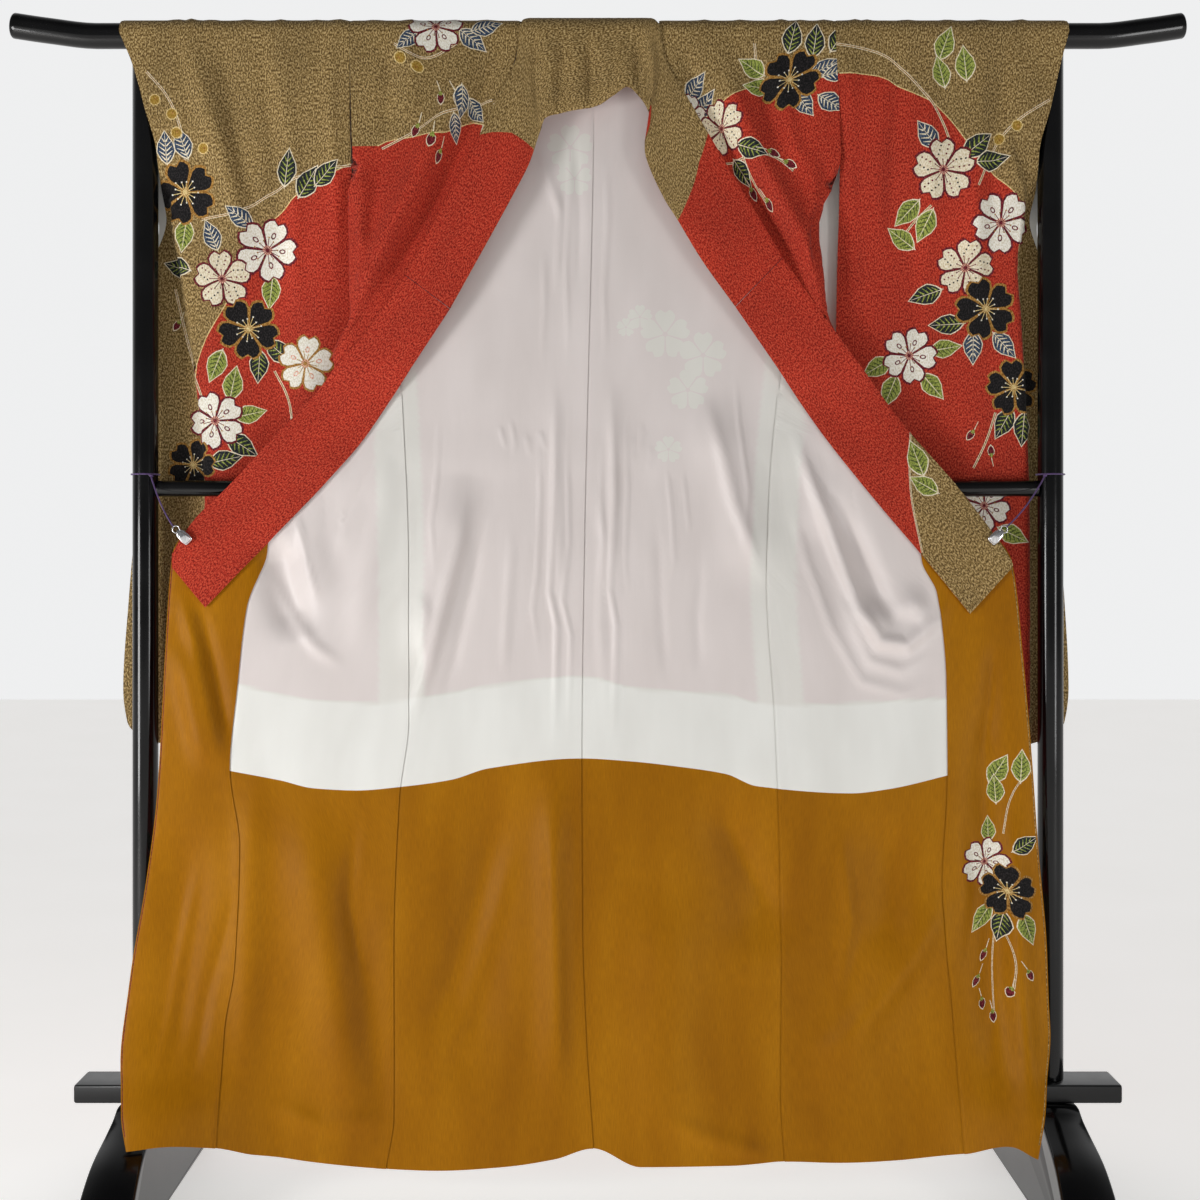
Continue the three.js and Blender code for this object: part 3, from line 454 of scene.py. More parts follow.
def columns_for(width):
    return int(width / FINE_WIDTH) + 1


NECK_HALF = 118     # the back's edge lies lower round the rod over this half width,
NECK_ROUND = 40     # rounded off over this much,
NECK_ROW = 1.45     # at this row
SEAM_STEP = 1.5     # one side of a seam stands proud of the other,
SEAM_REACH = 13     # over about this width,
SEAM_TOP = 1600     # below this height,
SEAM_SOFT = 150     # fully so this much lower


def stand_proud(points, edge):
    """Raises the cloth along one of its side edges towards the front, below the shoulders."""
    gap = np.abs(points[..., 0] - points[:, edge:edge + 1 or None, 0])
    points[..., 1] -= SEAM_STEP * np.exp(-gap / SEAM_REACH) * smooth((SEAM_TOP - points[..., 2]) / SEAM_SOFT)
    return points


def back_sheet(left, right):
    rows = fine_rows(0, LAST_ROW)
    j, u = rows[:, None], np.linspace(0, 1, columns_for(300))[None]
    x, z = between(left, right, u, j)
    hung = body_point(x, z)
    behind = body_point(x, np.full_like(x, ROD_Z))
    neck = smooth((NECK_HALF - np.abs(x)) / NECK_ROUND)
    row = lerp(neck * NECK_ROW, TURN_ROWS + 1, j / (TURN_ROWS + 1))
    over = turn(x, np.clip(row / TURN_ROWS, 0, 1), 1, behind[..., 1])
    lower = lerp(behind, body_point(x, np.full_like(x, NECK_TOP)), np.clip(row - TURN_ROWS, 0, 1)[..., None])
    points = np.where(j[..., None] > TURN_ROWS + 1, hung, np.where(row[..., None] <= TURN_ROWS, over, lower))
    if right is CENTRE_SEAM:
        stand_proud(points, -1)
    return Sheet(points, x, hanging_b(points, rows), 1), rows


CHEST_Y = [(1657, -18.7), (1484, -21), (1300, -24), (1200, -21), (1150, -16.5)]
FOLD_LEFT = [(1484, -347), (1437, -354), (1318, -353), (1260, -351), (1224, -366), (1190, -382),
             (1150, -399)]
FOLD_RIGHT = [(1484, 343), (1442, 335), (1408, 319), (1377, 313), (1335, 317), (1252, 327),
              (1200, 362), (1150, 400)]
SIDE_OPEN = 1484
SIDE_SEWN = 1340
CHEST_RIDGE = [(1600, 215, 0), (1424, 266, 6), (1327, 316, 5), (1250, 352, 0)]
RIDGE_HALF = 26
FREE_EDGE_GAP = 1.2
UNDER_COLLAR = 5    # the fronts go in this far behind the collar,
NECK_REACH = 6      # and the right one this much further at the neck,
NECK_FROM = 1570    # above this height,
NECK_SOFT = 50      # fully so this much higher
# Folds of the fronts over the chest, in the columns of CREASES.
CHEST_CREASES = [
    (17, 15, [(-168, 1670), (-190, 1600), (-232, 1500), (-278, 1400), (-320, 1310), (-352, 1230)]),
    (15, -19, [(-122, 1680), (-146, 1604), (-186, 1520), (-232, 1430), (-284, 1338), (-332, 1256), (-360, 1200)]),
    (10, 7, [(-330, 1478), (-336, 1400), (-338, 1320)]),
    (7, -3, [(-300, 1492), (-318, 1400), (-326, 1330)]),
    (7, 3, [(-352, 1306), (-322, 1312), (-290, 1322)]),
    (8, 4, [(-120, 1630), (-158, 1560), (-196, 1490), (-230, 1430)]),
    (11, 6, [(-270, 1650), (-262, 1590), (-270, 1520)]),
    (10, -6, [(-300, 1650), (-296, 1580), (-306, 1500)]),
    (16, 13, [(160, 1660), (190, 1570), (226, 1480), (272, 1390), (310, 1310), (338, 1230)]),
    (14, -17, [(112, 1660), (146, 1570), (184, 1484), (232, 1404), (280, 1330), (322, 1262)]),
    (9, 7, [(302, 1500), (306, 1420), (298, 1350), (306, 1290)]),
    (6, -3, [(322, 1500), (322, 1440), (312, 1380)]),
    (7, 3, [(286, 1302), (304, 1306), (324, 1314)]),
    (10, 6, [(236, 1640), (262, 1570), (276, 1500), (300, 1440)]),
    (9, -6, [(210, 1636), (238, 1560), (254, 1480)]),
]


def chest_y(x, z):
    ridge = column(CHEST_RIDGE, z, 2) * bell(np.abs(x) - column(CHEST_RIDGE, z, 1), RIDGE_HALF)
    return column(CHEST_Y, z) - ridge - crease_height(x, z, CHEST_CREASES)


def along_line(points, share):
    """Points at shares of a polyline's length, and that length."""
    steps = np.linalg.norm(np.diff(points, axis=0), axis=1)
    length = np.concatenate([[0], np.cumsum(steps)])
    place = share * length[-1]
    return np.stack([np.interp(place, length, points[:, k]) for k in range(3)], 1), length[-1]


def front_section(z, side, side_seam, collar_seam, fold_edge):
    """From the side seam round the fold to the collar seam, at one height."""
    under = UNDER_COLLAR + (NECK_REACH * smooth((z - NECK_FROM) / NECK_SOFT) if side > 0 else 0)
    seam_x = column(collar_seam, z) - side * under
    opened = z < SIDE_OPEN
    side_x = column(side_seam, z) + side * (FREE_EDGE_GAP if opened else -EDGE_INSET)
    if not opened:
        x = np.linspace(side_x, seam_x, 60)
        return stack(x, chest_y(x, z), z)
    back = smooth((SIDE_OPEN - z) / (SIDE_OPEN - SIDE_SEWN))
    fold_x = column(fold_edge, z)
    front_y = chest_y(fold_x, z)
    radius = max((lerp(front_y, body_y(fold_x, z), back) - front_y) / 2, 0.02)
    centre_x, centre_y = fold_x - side * radius, front_y + radius
    x = np.linspace(side_x, centre_x, 16)[:-1]
    behind = stack(x, lerp(chest_y(x, z), body_y(x, z), back), z)
    angle = np.radians(np.linspace(90, -90, 13))
    bend = stack(centre_x + side * radius * np.cos(angle), centre_y + radius * np.sin(angle), z)
    x = np.linspace(centre_x, seam_x, 50)[1:]
    return np.concatenate([behind, bend, stack(x, chest_y(x, z), z)])


MELT = 60   # the fold opens out over this height above its foot
EDGE_BEHIND = 4     # how far the edge of a front goes in behind its collar


def front_sheet(side, side_seam, collar_seam, okumi_seam, fold_edge):
    edge = [(z, x - side * EDGE_BEHIND) for z, x in collar_seam if z > okumi_seam[0][0]] + okumi_seam
    rows = fine_rows(0, LAST_ROW)
    share = np.linspace(0, 1, columns_for(330))
    points, widths = [], []
    for row in rows:
        x, z = between(side_seam, edge, share[None], np.array([[row]]), side * EDGE_INSET)
        flat = body_point(x[0], z[0])
        if row >= SHOULDER:
            points.append(flat)
            widths.append(abs(x[0, -1] - x[0, 0]))
            continue
        height = row_height(np.array(row), 0.0)
        line, length = along_line(front_section(float(height), side, side_seam, collar_seam, fold_edge), share)
        if row < TURN_ROWS:
            line = turn(line[:, 0], row / TURN_ROWS, -1, -line[:, 1])
        melt = smooth((FOLD_FOOT + MELT - height) / MELT)
        points.append(lerp(line, flat, melt))
        widths.append(lerp(length, abs(x[0, -1] - x[0, 0]), melt))
    points = np.array(points)
    low = rows > SHOULDER
    points[low] = stand_proud(points[low], 0)
    # The flat cloth is laid out from the collar seam, so that over the chest a is x.
    a = points[:, -1:, 0] + side * (1 - share[None]) * np.array(widths)[:, None]
    return Sheet(points, a, hanging_b(points, rows), side), rows


def okumi_sheet(left, right):
    rows = fine_rows(SHOULDER, LAST_ROW)
    j, u = rows[:, None], np.linspace(0, 1, columns_for(150))[None]
    x, z = between(left, right, u, np.maximum(j, SHOULDER + 1))
    top_x = lerp(column(left, OKUMI_TOP) + EDGE_INSET, column(right, OKUMI_TOP) - EDGE_INSET, u)
    rise = np.clip(SHOULDER + 1 - j, 0, 1)
    x = lerp(x, top_x, rise)
    z = lerp(z, OKUMI_TOP, rise)
    points = body_point(x, z)
    stand_proud(points, 0 if right[0][1] > 0 else -1)
    return Sheet(points, x, hanging_b(points, rows), 1), rows


# ---------------------------------------------------------------- sleeves
# Height, inner edge x, fold x, outer edge x, front layer y, its outer y, back layer's outer y, its y.
SLEEVE_LEFT = [
    (1657, -353, -600, -679, -20, -20.2, 20.6, 20.6),
    (1608, -352, -592, -659, -19.8, -20.8, 22, 17.5),
    (1550, -352, -585, -643, -18.6, -20.6, 25, 14),
    (1484, -351, -588, -627, -14, -14, 29, 13),
    (1440, -350, -606, -626, -8, 6, 30, 14.5),
    (1400, -350, -610, -624, -2, 25.5, 27.7, 16),
    (1330, -350, -600, -645, 5, 29, 31.2, 21),
    (1200, -348, -582, -652, 12, 34, 36.2, 28),
    (1010, -342, -566, -668, 18, 37.5, 39.7, 35),
    (850, -340, -566, -682, 18, 37.5, 39.7, 35),
    (720, -340, -570, -690, 18, 37.5, 39.7, 35),
    (672, -340, -572, -684, 18, 37.5, 39.7, 35),
    (650, -340, -573, -664, 18, 37.5, 39.7, 35),
    (640, -340, -574, -630, 18, 37.5, 39.7, 35),
]
SLEEVE_RIGHT = [
    (1657, 337, 590, 668, -20, -20.2, 20.6, 20.6),
    (1608, 339, 585, 655, -19.8, -20.8, 22, 17.5),
    (1550, 342, 580, 642, -18.6, -20.6, 25, 14),
    (1484, 344, 588, 627, -14, -14, 29, 13),
    (1440, 344, 608, 628, -8, 6, 30, 14.5),
    (1400, 344, 610, 624, -2, 25.5, 27.7, 16),
    (1340, 343, 601, 640, 5, 29, 31.2, 21),
    (1231, 342, 609, 650, 11, 33, 35.2, 27),
    (1010, 340, 621, 664, 18, 37.5, 39.7, 35),
    (850, 338, 622, 678, 18, 37.5, 39.7, 35),
    (720, 338, 622, 684, 18, 37.5, 39.7, 35),
    (672, 338, 622, 678, 18, 37.5, 39.7, 35),
    (650, 338, 620, 658, 18, 37.5, 39.7, 35),
    (640, 338, 612, 628, 18, 37.5, 39.7, 35),
]
SLEEVE_FOOT = 640
# How far the back layer's inner edge reaches in past the front layer's: height, reach.
BACK_REACH = [(1657, 0), (1484, 0), (1422, 24), (1344, 36), (1266, 34), (1188, 14), (1109, 0), (640, 0)]
FOOT_SEAM = 60      # the two layers draw together over this height above the foot
FOOT_SEAM_GAP = 2.1
# How far the back layer's outer edge stands out past the front layer's above the cuff: height, reach.
BACK_SPREAD = [(1657, 0), (1570, 4), (1500, 14), (1440, 18), (1400, 12), (1345, 1), (1330, 0), (640, 0)]
FOLD_STEP = 5
BACK_WAVE = 0.6
SLEEVE_WAVES = [(-395, -400, 30, 4), (-470, -455, 34, -5), (-545, -530, 22, 4)]
# Fine folds of a sleeve's front layer, in the columns of CREASES.
SLEEVE_CREASES = [
    (15, 8, [(-588, 1690), (-560, 1568), (-530, 1480), (-512, 1400), (-520, 1290)]),
    (13, -6, [(-536, 1680), (-526, 1580), (-508, 1480), (-492, 1400)]),
    (12, 6, [(-450, 1690), (-446, 1560), (-430, 1450), (-436, 1330), (-424, 1220)]),
    (10, -4, [(-476, 1680), (-470, 1560), (-458, 1450), (-462, 1330)]),
    (9, 5, [(-376, 1690), (-380, 1560), (-372, 1440), (-378, 1300)]),
    (10, 3, [(-560, 1380), (-548, 1280), (-556, 1180), (-548, 1060)]),
    (15, 8, [(612, 1690), (600, 1560), (592, 1470), (588, 1380)]),
    (12, -5, [(634, 1670), (622, 1560), (606, 1480)]),
    (13, 7, [(544, 1690), (540, 1560), (534, 1440), (544, 1320), (536, 1190)]),
    (11, -6, [(586, 1680), (572, 1560), (560, 1450), (566, 1340)]),
    (10, 5, [(356, 1690), (360, 1560), (358, 1450), (366, 1330), (362, 1200)]),
    (12, -5, [(428, 1680), (424, 1560), (416, 1440), (424, 1310)]),
    (10, 5, [(478, 1680), (470, 1530), (476, 1420), (468, 1300), (474, 1160)]),
]
SLEEVE_TURN_R = TURN_R + OUTER_OFFSET
SLEEVE_ARC = SLEEVE_TURN_R * math.pi


def sleeve_section(table, z, is_front, share):
    inner, fold, outer, front_y, front_outer_y, back_outer_y, back_y = (
        column(table, z, k) for k in range(1, 8))
    side = np.sign(inner)
    x = lerp(inner, outer, share)
    sewn = smooth((SLEEVE_FOOT + FOOT_SEAM - z) / FOOT_SEAM)
    down = smooth((ROD_Z - z) / 200) * (1 - sewn)
    if not is_front:
        x = x - side * (1 - share) * column(BACK_REACH, z) + side * share ** 4 * column(BACK_SPREAD, z)
    waves = crease_height(x, z, SLEEVE_CREASES)
    for top, foot, half, rise in SLEEVE_WAVES:
        middle = lerp(top, foot, (ROD_Z - z) / (ROD_Z - SLEEVE_FOOT))
        waves = waves + rise * down * bell(-side * x - middle, half)
    past = smooth(np.abs(x - inner) / FOLD_STEP - np.abs(fold - inner) / FOLD_STEP)
    back = lerp(back_y, back_outer_y, share) - BACK_WAVE * waves
    front = lerp(front_y - waves, front_outer_y, past)
    front = lerp(front, back - FOOT_SEAM_GAP, sewn)
    return stack(x, front if is_front else back, z)


def sleeve_sheet(table, side):
    share = np.linspace(0, 1, columns_for(340) + 8)
    heights = np.linspace(SLEEVE_FOOT, ROD_Z, 165)
    angles = np.radians(np.linspace(-90, 90, 19))[1:-1]
    points = [sleeve_section(table, z, True, share) for z in heights]
    for angle in angles:
        end = sleeve_section(table, ROD_Z, angle < 0, share)
        radius = lerp(SLEEVE_TURN_R + gathers(end[:, 0]), np.abs(end[:, 1]), abs(angle) / (math.pi / 2))
        points.append(stack(end[:, 0], radius * math.sin(angle), ROD_Z + radius * math.cos(angle)))
    points += [sleeve_section(table, z, False, share) for z in heights[::-1]]
    points = np.array(points)
    arc = ROD_Z + (angles + math.pi / 2) * SLEEVE_TURN_R
    b = np.concatenate([heights, arc, 2 * ROD_Z + SLEEVE_ARC - heights[::-1]])
    return Sheet(points, points[:, :, 0] * 1.0, b, side)


# ---------------------------------------------------------------- collar
# Seam x, degrees that the seam edge lies round the rod, seam z, free-edge x, free-edge z.
NAPE = [
    (-272, 0, 1310, -209, 1263),
    (-233, 0, 1383, -170, 1333),
    (-190, 0, 1462, -124, 1417),
    (-146, 0, 1555, -96, 1472),
    (-118, 0, 1612, -84, 1508),
    (-104, 60, 1657, -74, 1533),
    (-82, 120, 1657, -54, 1540),
    (-45, 138, 1657, -28, 1545),
    (0, 138, 1657, 0, 1551),
    (32, 138, 1657, 22, 1565),
    (56, 128, 1657, 42, 1577),
    (70, 105, 1657, 60, 1562),
    (79, 60, 1657, 74, 1530),
    (98, 0, 1612, 66, 1490),
    (127, 0, 1562, 91, 1424),
    (187, 0, 1459, 113, 1388),
    (220, 0, 1405, 146, 1333),
    (261, 0, 1335, 194, 1266),
]
COLLAR_GAP = CLOTH + SEAM + COLLAR_CLOTH / 2
NAPE_R = ROD_R + COLLAR_GAP + 2.6
NAPE_STEPS = 10     # fine rows for each line of the table
# Gathers of the neck: x at the rod, x at the free edge, half width, rise.
NAPE_FOLDS = [(-12, -12, 5, -7), (-62, -74, 12, 5), (-40, -56, 7, -5), (-28, -34, 8, 4), (8, 14, 9, 4),
              (30, 36, 12, 5), (60, 56, 6, -6), (72, 84, 7, 5), (-84, -90, 8, -4)]
NAPE_COLUMNS = 29


def collar_y(z):
    return column(CHEST_Y, z) - COLLAR_GAP - SEAM


def over_collar_sheet():
    keyed = [(k, *row) for k, row in enumerate(NAPE)]
    rows = np.linspace(0, len(NAPE) - 1, (len(NAPE) - 1) * NAPE_STEPS + 1)
    u = np.linspace(0, 1, NAPE_COLUMNS)
    points = []
    for key in rows:
        seam_x, wrap, seam_z, free_x, free_z = (float(column(keyed, key, k)) for k in range(1, 6))
        flat_z = lerp(seam_z, free_z, u)
        flat = stack(lerp(seam_x, free_x, u), collar_y(flat_z), flat_z)
        straight = ROD_Z - free_z
        arc = NAPE_R * math.radians(wrap)
        reach = u * (arc + straight)
        angle = np.clip(arc - reach, 0, None) / NAPE_R
        down = np.clip(reach - arc, 0, None)
        z = ROD_Z - down
        y = np.where(down > 0, lerp(-NAPE_R, collar_y(z) - 1, smooth(down / 60)), -NAPE_R * np.cos(angle))
        z = np.where(down > 0, z, ROD_Z + NAPE_R * np.sin(angle))
        x = lerp(seam_x, free_x, u)
        for top, foot, half, rise in NAPE_FOLDS:
            y = y - rise * bell(x - lerp(top, foot, u), half) * smooth(down / 40) * smooth((1.1 - u) * 3)
        wrapped = stack(x, y, z)
        points.append(lerp(flat, wrapped, smooth(wrap / 25)))
    points = np.array(points)
    return collar_flat(points, 1)


def collar_flat(points, outward):
    width = np.linalg.norm(np.diff(points, axis=1), axis=2)
    middle = points[:, points.shape[1] // 2]
    b = np.concatenate([[0], np.cumsum(np.linalg.norm(np.diff(middle, axis=0), axis=1))])
    a = np.concatenate([np.zeros((len(b), 1)), np.cumsum(width, axis=1)], axis=1)
    length = a[:, -1:]
    a = np.linspace(0, 1, points.shape[1])[None] * length - length / 2
    return Sheet(points, a, b, outward)


FREE_LEFT = [(1263, -209), (1209, -245), (1142, -290), (1077, -335), (1023, -381), (929, -470),
             (841, -553)]
FREE_RIGHT = [(1266, 194), (1183, 252), (1077, 326), (985, 399), (918, 455), (832, 524)]
COLLAR_FOOT = 898
LINING_TO_COLLAR = 3.5


def collar_end_y(x, z):
    over_lining = body_y(x, z) - SEAM / 2 - LINING - LINING_TO_COLLAR - COLLAR_CLOTH / 2
    on_chest = np.minimum(collar_y(z), over_lining)
    return lerp(on_chest, over_lining, smooth((FOLD_FOOT + 40 - z) / 80))


def collar_end_sheet(seam_start, seam_line, free_start, free_line, outward):
    seam = [seam_start] + [p for p in seam_line if p[0] < seam_start[0] - 4]
    free = [free_start] + [p for p in free_line if p[0] < free_start[0] - 4]
    u = np.linspace(0, 1, 15)[None]
    v = np.linspace(0, 1, 90)[:, None]
    seam_z = lerp(seam_start[0], COLLAR_FOOT, v)
    free_z = lerp(free_start[0], free[-1][0], v)
    x = lerp(column(seam, seam_z), column(free, free_z), u)
    z = lerp(seam_z, free_z, u)
    return collar_flat(stack(x, collar_end_y(x, z), z), outward)


# ---------------------------------------------------------------- materials
def srgb(red, green, blue):
    """A colour for a shader, from the numbers seen on a screen."""
    return tuple(v / 255 / 12.92 if v < 11 else ((v / 255 + 0.055) / 1.055) ** 2.4 for v in (red, green, blue))


class Look:
    """A material and its nodes. Sockets of its shader are given with _ for each space."""

    def __init__(self, name, **sockets):
        self.material = bpy.data.materials.new(name)
        self.material.use_nodes = True
        self.tree = self.material.node_tree
        self.shader = self.tree.nodes["Principled BSDF"]
        for key, value in sockets.items():
            self.shader.inputs[key.replace("_", " ")].default_value = value

    def node(self, kind, inputs):
        made = self.tree.nodes.new(f"ShaderNode{kind}")
        for key, value in inputs.items():
            if isinstance(value, bpy.types.NodeSocket):
                self.tree.links.new(value, made.inputs[key])
            else:
                made.inputs[key].default_value = value
        return made

    def noise(self, scale, stretch=(1, 1, 1), detail=2, on_cloth=True):
        """Noise with scale bumps a metre, on the flat cloth or in space."""
        if on_cloth:
            place = self.tree.nodes.new("ShaderNodeUVMap")
            place.uv_map = "cloth"
            place = place.outputs[0]
        else:
            place = self.tree.nodes.new("ShaderNodeTexCoord").outputs["Object"]
        mapped = self.node("Mapping", {"Vector": place, "Scale": [scale * k for k in stretch]})
        return self.node("TexNoise", {"Vector": mapped.outputs[0], "Scale": 1, "Detail": detail}).outputs[0]

    def ramp(self, value, stops):
        ramp = self.node("ValToRGB", {"Fac": value})
        elements = ramp.color_ramp.elements
        while len(elements) < len(stops):
            elements.new(0.5)
        for element, (place, colour) in zip(elements, stops):
            element.position = place
            element.color = (*colour, 1)
        return ramp.outputs[0]

    def mix(self, factor, first, second, blend="MIX"):
        node = self.tree.nodes.new("ShaderNodeMix")
        node.data_type = "RGBA"
        node.blend_type = blend
        for key, value in ((0, factor), (6, first), (7, second)):
            if isinstance(value, bpy.types.NodeSocket):
                self.tree.links.new(value, node.inputs[key])
            else:
                node.inputs[key].default_value = value if key == 0 else (*value, 1)
        return node.outputs[2]

    def bump(self, height, distance, strength=1.0, under=None):
        inputs = {"Height": height, "Distance": distance, "Strength": strength}
        if under:
            inputs["Normal"] = under
        return self.node("Bump", inputs).outputs[0]

    def finish(self, colour=None, normal=None, roughness=None):
        for key, value in (("Base Color", colour), ("Normal", normal), ("Roughness", roughness)):
            if value:
                self.tree.links.new(value, self.shader.inputs[key])
        return self.material


def crepe(name, dark, base, light, across=560, along=330):
    """Crepe silk: crinkled grain a millimetre or two long, with a dull sheen."""
    look = Look(name, Roughness=0.75, Sheen_Weight=0.05, Sheen_Roughness=0.5, Specular_IOR_Level=0.18)
    grain = look.noise(1, (across, along, 1), 3)
    colour = look.ramp(grain, [(0.38, srgb(*dark)), (0.5, srgb(*base)), (0.62, srgb(*light))])
    broad = look.ramp(look.noise(14, (1, 0.5, 1)), [(0.3, (0.84, 0.84, 0.84)), (0.7, (1.1, 1.1, 1.1))])
    colour = look.mix(1, colour, broad, "MULTIPLY")
    return look.finish(colour, look.bump(grain, 0.0006, 0.8))


PAINT_COLOURS = {
    "red": ((124, 24, 14), (184, 50, 32), (208, 82, 57)),
    "black": ((10, 9, 10), (22, 20, 21), (46, 42, 42)),
    "cream": ((214, 196, 158), (238, 226, 198), (248, 240, 220)),
    "white": ((222, 212, 190), (243, 238, 224), (252, 249, 240)),
    "maroon": ((66, 12, 22), (104, 24, 36), (140, 52, 60)),
    "navy": ((30, 42, 62), (54, 70, 94), (90, 104, 122)),
    "ink": ((20, 24, 28), (34, 38, 42), (60, 62, 62)),
    "green": ((102, 116, 44), (146, 158, 70), (176, 182, 98)),
    "moss": ((48, 58, 30), (78, 88, 44), (110, 116, 66)),
    "gold": ((126, 84, 30), (164, 118, 52), (196, 152, 84)),
    "amber": ((136, 104, 36), (168, 132, 50), (190, 156, 80)),
    "pale_gold": ((196, 166, 100), (226, 200, 138), (240, 222, 170)),
    "pink": ((206, 134, 108), (230, 172, 148), (242, 200, 180)),
}
PAINTS = {name: crepe(f"print_{name}", *colours) for name, colours in PAINT_COLOURS.items()}
PAINTS["olive"] = crepe("crepe_olive", (88, 66, 34), (139, 113, 66), (197, 170, 118), 520, 300)


def silk(name, plain, double, tinted):
    """Thin plain lining silk, tinted where the dyed crepe shows through it."""
    look = Look(name, Roughness=0.42, Sheen_Weight=0.08, Sheen_Roughness=0.35, Specular_IOR_Level=0.35)
    shade = look.tree.nodes.new("ShaderNodeAttribute")
    shade.attribute_name = "tint"
    colour = look.ramp(shade.outputs["Fac"], [(0, srgb(*plain)), (0.5, srgb(*double)), (1, srgb(*tinted))])
    broad = look.ramp(look.noise(16, (1, 0.3, 1)), [(0.3, (0.95, 0.945, 0.94)), (0.7, (1.03, 1.03, 1.03))])
    colour = look.mix(1, colour, broad, "MULTIPLY")
    soft = look.bump(look.noise(26, (1, 0.22, 1), 3), 0.0022, 0.5)
    return look.finish(colour, look.bump(look.noise(1400, (1, 1, 1), 1), 0.0001, 0.3, soft))


LINING_SILK = silk("lining_silk", (240, 240, 235), (232, 230, 224), (229, 220, 217))
PAINTS["ghost"] = silk("lining_over_print", (242, 243, 236), (234, 235, 227), (231, 229, 222))


def satin(name, dark, base, light):
    """Satin-faced hem lining, with broad streaks along its warp painted lighter and darker as satin sheen
    highlights.
    """
    look = Look(name, Roughness=0.5, Sheen_Weight=0.0, Specular_IOR_Level=0.1)
    # painted sheen: broad streaks along the warp, from dark to light, stand in for the satin's highlights
    broad = look.noise(11, (1, 0.25, 1), 3)
    colour = look.ramp(broad, [(0.3, srgb(*dark)), (0.5, srgb(*base)), (0.7, srgb(*light))])
    thread = look.noise(1, (900, 60, 1), 2)
    fine = look.ramp(thread, [(0.3, (0.86, 0.86, 0.84)), (0.7, (1.08, 1.08, 1.08))])
    soft = look.bump(look.noise(20, (1, 0.25, 1), 2), 0.002, 0.25)
    return look.finish(look.mix(1, colour, fine, "MULTIPLY"), look.bump(thread, 0.0002, 0.5, soft))


OCHRE = satin("hem_satin", (152, 95, 2), (165, 106, 3), (176, 116, 8))


def lacquer(name, roughness, coat):
    """Black lacquer with a faint orange peel and a little dust."""
    look = Look(name, Coat_Weight=coat, Coat_Roughness=0.05, Specular_IOR_Level=0.3)
    dust = look.noise(14, (1, 1, 1), 4, False)
    colour = look.ramp(dust, [(0.4, srgb(5, 5, 6)), (0.75, srgb(14, 14, 15))])
    rough = look.ramp(dust, [(0.3, (roughness,) * 3), (0.8, (roughness * 1.5,) * 3)])
    return look.finish(colour, look.bump(look.noise(150, (1, 1, 1), 1, False), 0.0002, 0.12), rough)


GLOSS = lacquer("lacquer_gloss", 0.14, 0.12)
SATIN_BLACK = lacquer("lacquer_satin", 0.3, 0.1)


def metal(name, base):
    look = Look(name, Metallic=1.0, Specular_IOR_Level=0.5)
    brush = look.noise(700, (1, 1, 0.1), 2, False)
    colour = look.ramp(brush, [(0.3, srgb(*(v * 0.86 for v in base))), (0.7, srgb(*base))])
    return look.finish(colour, None, look.ramp(brush, [(0.2, (0.12,) * 3), (0.8, (0.24,) * 3)]))


CHROME = metal("clip_chrome", (232, 232, 234))


def thread(name, dark, light):
    look = Look(name, Roughness=0.62, Sheen_Weight=0.4)
    fibre = look.noise(1600, (1, 1, 1), 2, False)
    colour = look.ramp(fibre, [(0.3, srgb(*dark)), (0.7, srgb(*light))])
    return look.finish(colour, look.bump(fibre, 0.0002, 0.6))


PURPLE = thread("cord_purple", (44, 22, 66), (98, 62, 132))


def paper(name, dark, light):
    look = Look(name, Roughness=0.7, Emission_Color=(1, 0.99, 0.975, 1), Emission_Strength=0.45)
    mottle = look.noise(3, (1, 1, 1), 3, False)
    return look.finish(look.ramp(mottle, [(0.3, srgb(*dark)), (0.7, srgb(*light))]))


FLOOR = paper("floor_pale", (240, 237, 233), (246, 243, 240))

# ---------------------------------------------------------------- printed motifs
# Half outline of a petal in shares of the flower's radius: out from the middle, across.
PETAL = [(0.10, 0.05), (0.35, 0.22), (0.58, 0.37), (0.76, 0.40), (0.90, 0.31), (0.98, 0.18), (0.86, 0)]
PETAL_MIDDLE = 0.58
STAMENS = 13
# Outline, petals, marks on them, stamens, their tips.
FLOWERS = {
    "black": ("gold", "black", None, "pale_gold", "white"),
    "white": ("maroon", "white", "maroon", "maroon", "gold"),
    "tan": ("gold", "white", "pink", "gold", "pale_gold"),
    "dotted": ("maroon", "cream", "dots", "maroon", "maroon"),
}
# Ground, stripes.
LEAVES = {"navy": ("navy", "cream"), "dark": ("ink", "green"), "green": ("green", "moss")}
LEAF_WIDE = 0.27
LEAF_STRIPES = 5
BORDER_LINE = 1.5


def turned(points, degrees):
    angle = math.radians(degrees)
    across, up = (math.cos(angle), math.sin(angle)), (-math.sin(angle), math.cos(angle))
    return points @ np.array([across, up])


def oval(radius, x=0, y=0, tall=1.0, count=10):
    angles = np.arange(count) * 2 * math.pi / count
    return np.stack([x + radius * np.cos(angles), y + tall * radius * np.sin(angles)], 1)


def petal(grow=0.0):
    right = np.array([(across, out) for out, across in PETAL])
    loop = np.concatenate([right, right[-2::-1] * (-1, 1)])
    middle = np.array([0, PETAL_MIDDLE])
    return middle + (loop - middle) * (1 + grow)


def bar(start, end, from_wide, to_wide):
    start, end = np.array(start, float), np.array(end, float)
    along = (end - start) / np.linalg.norm(end - start)
    across = np.array([-along[1], along[0]])
    return np.array([start - across * from_wide, end - across * to_wide, end + across * to_wide,
                     start + across * from_wide])


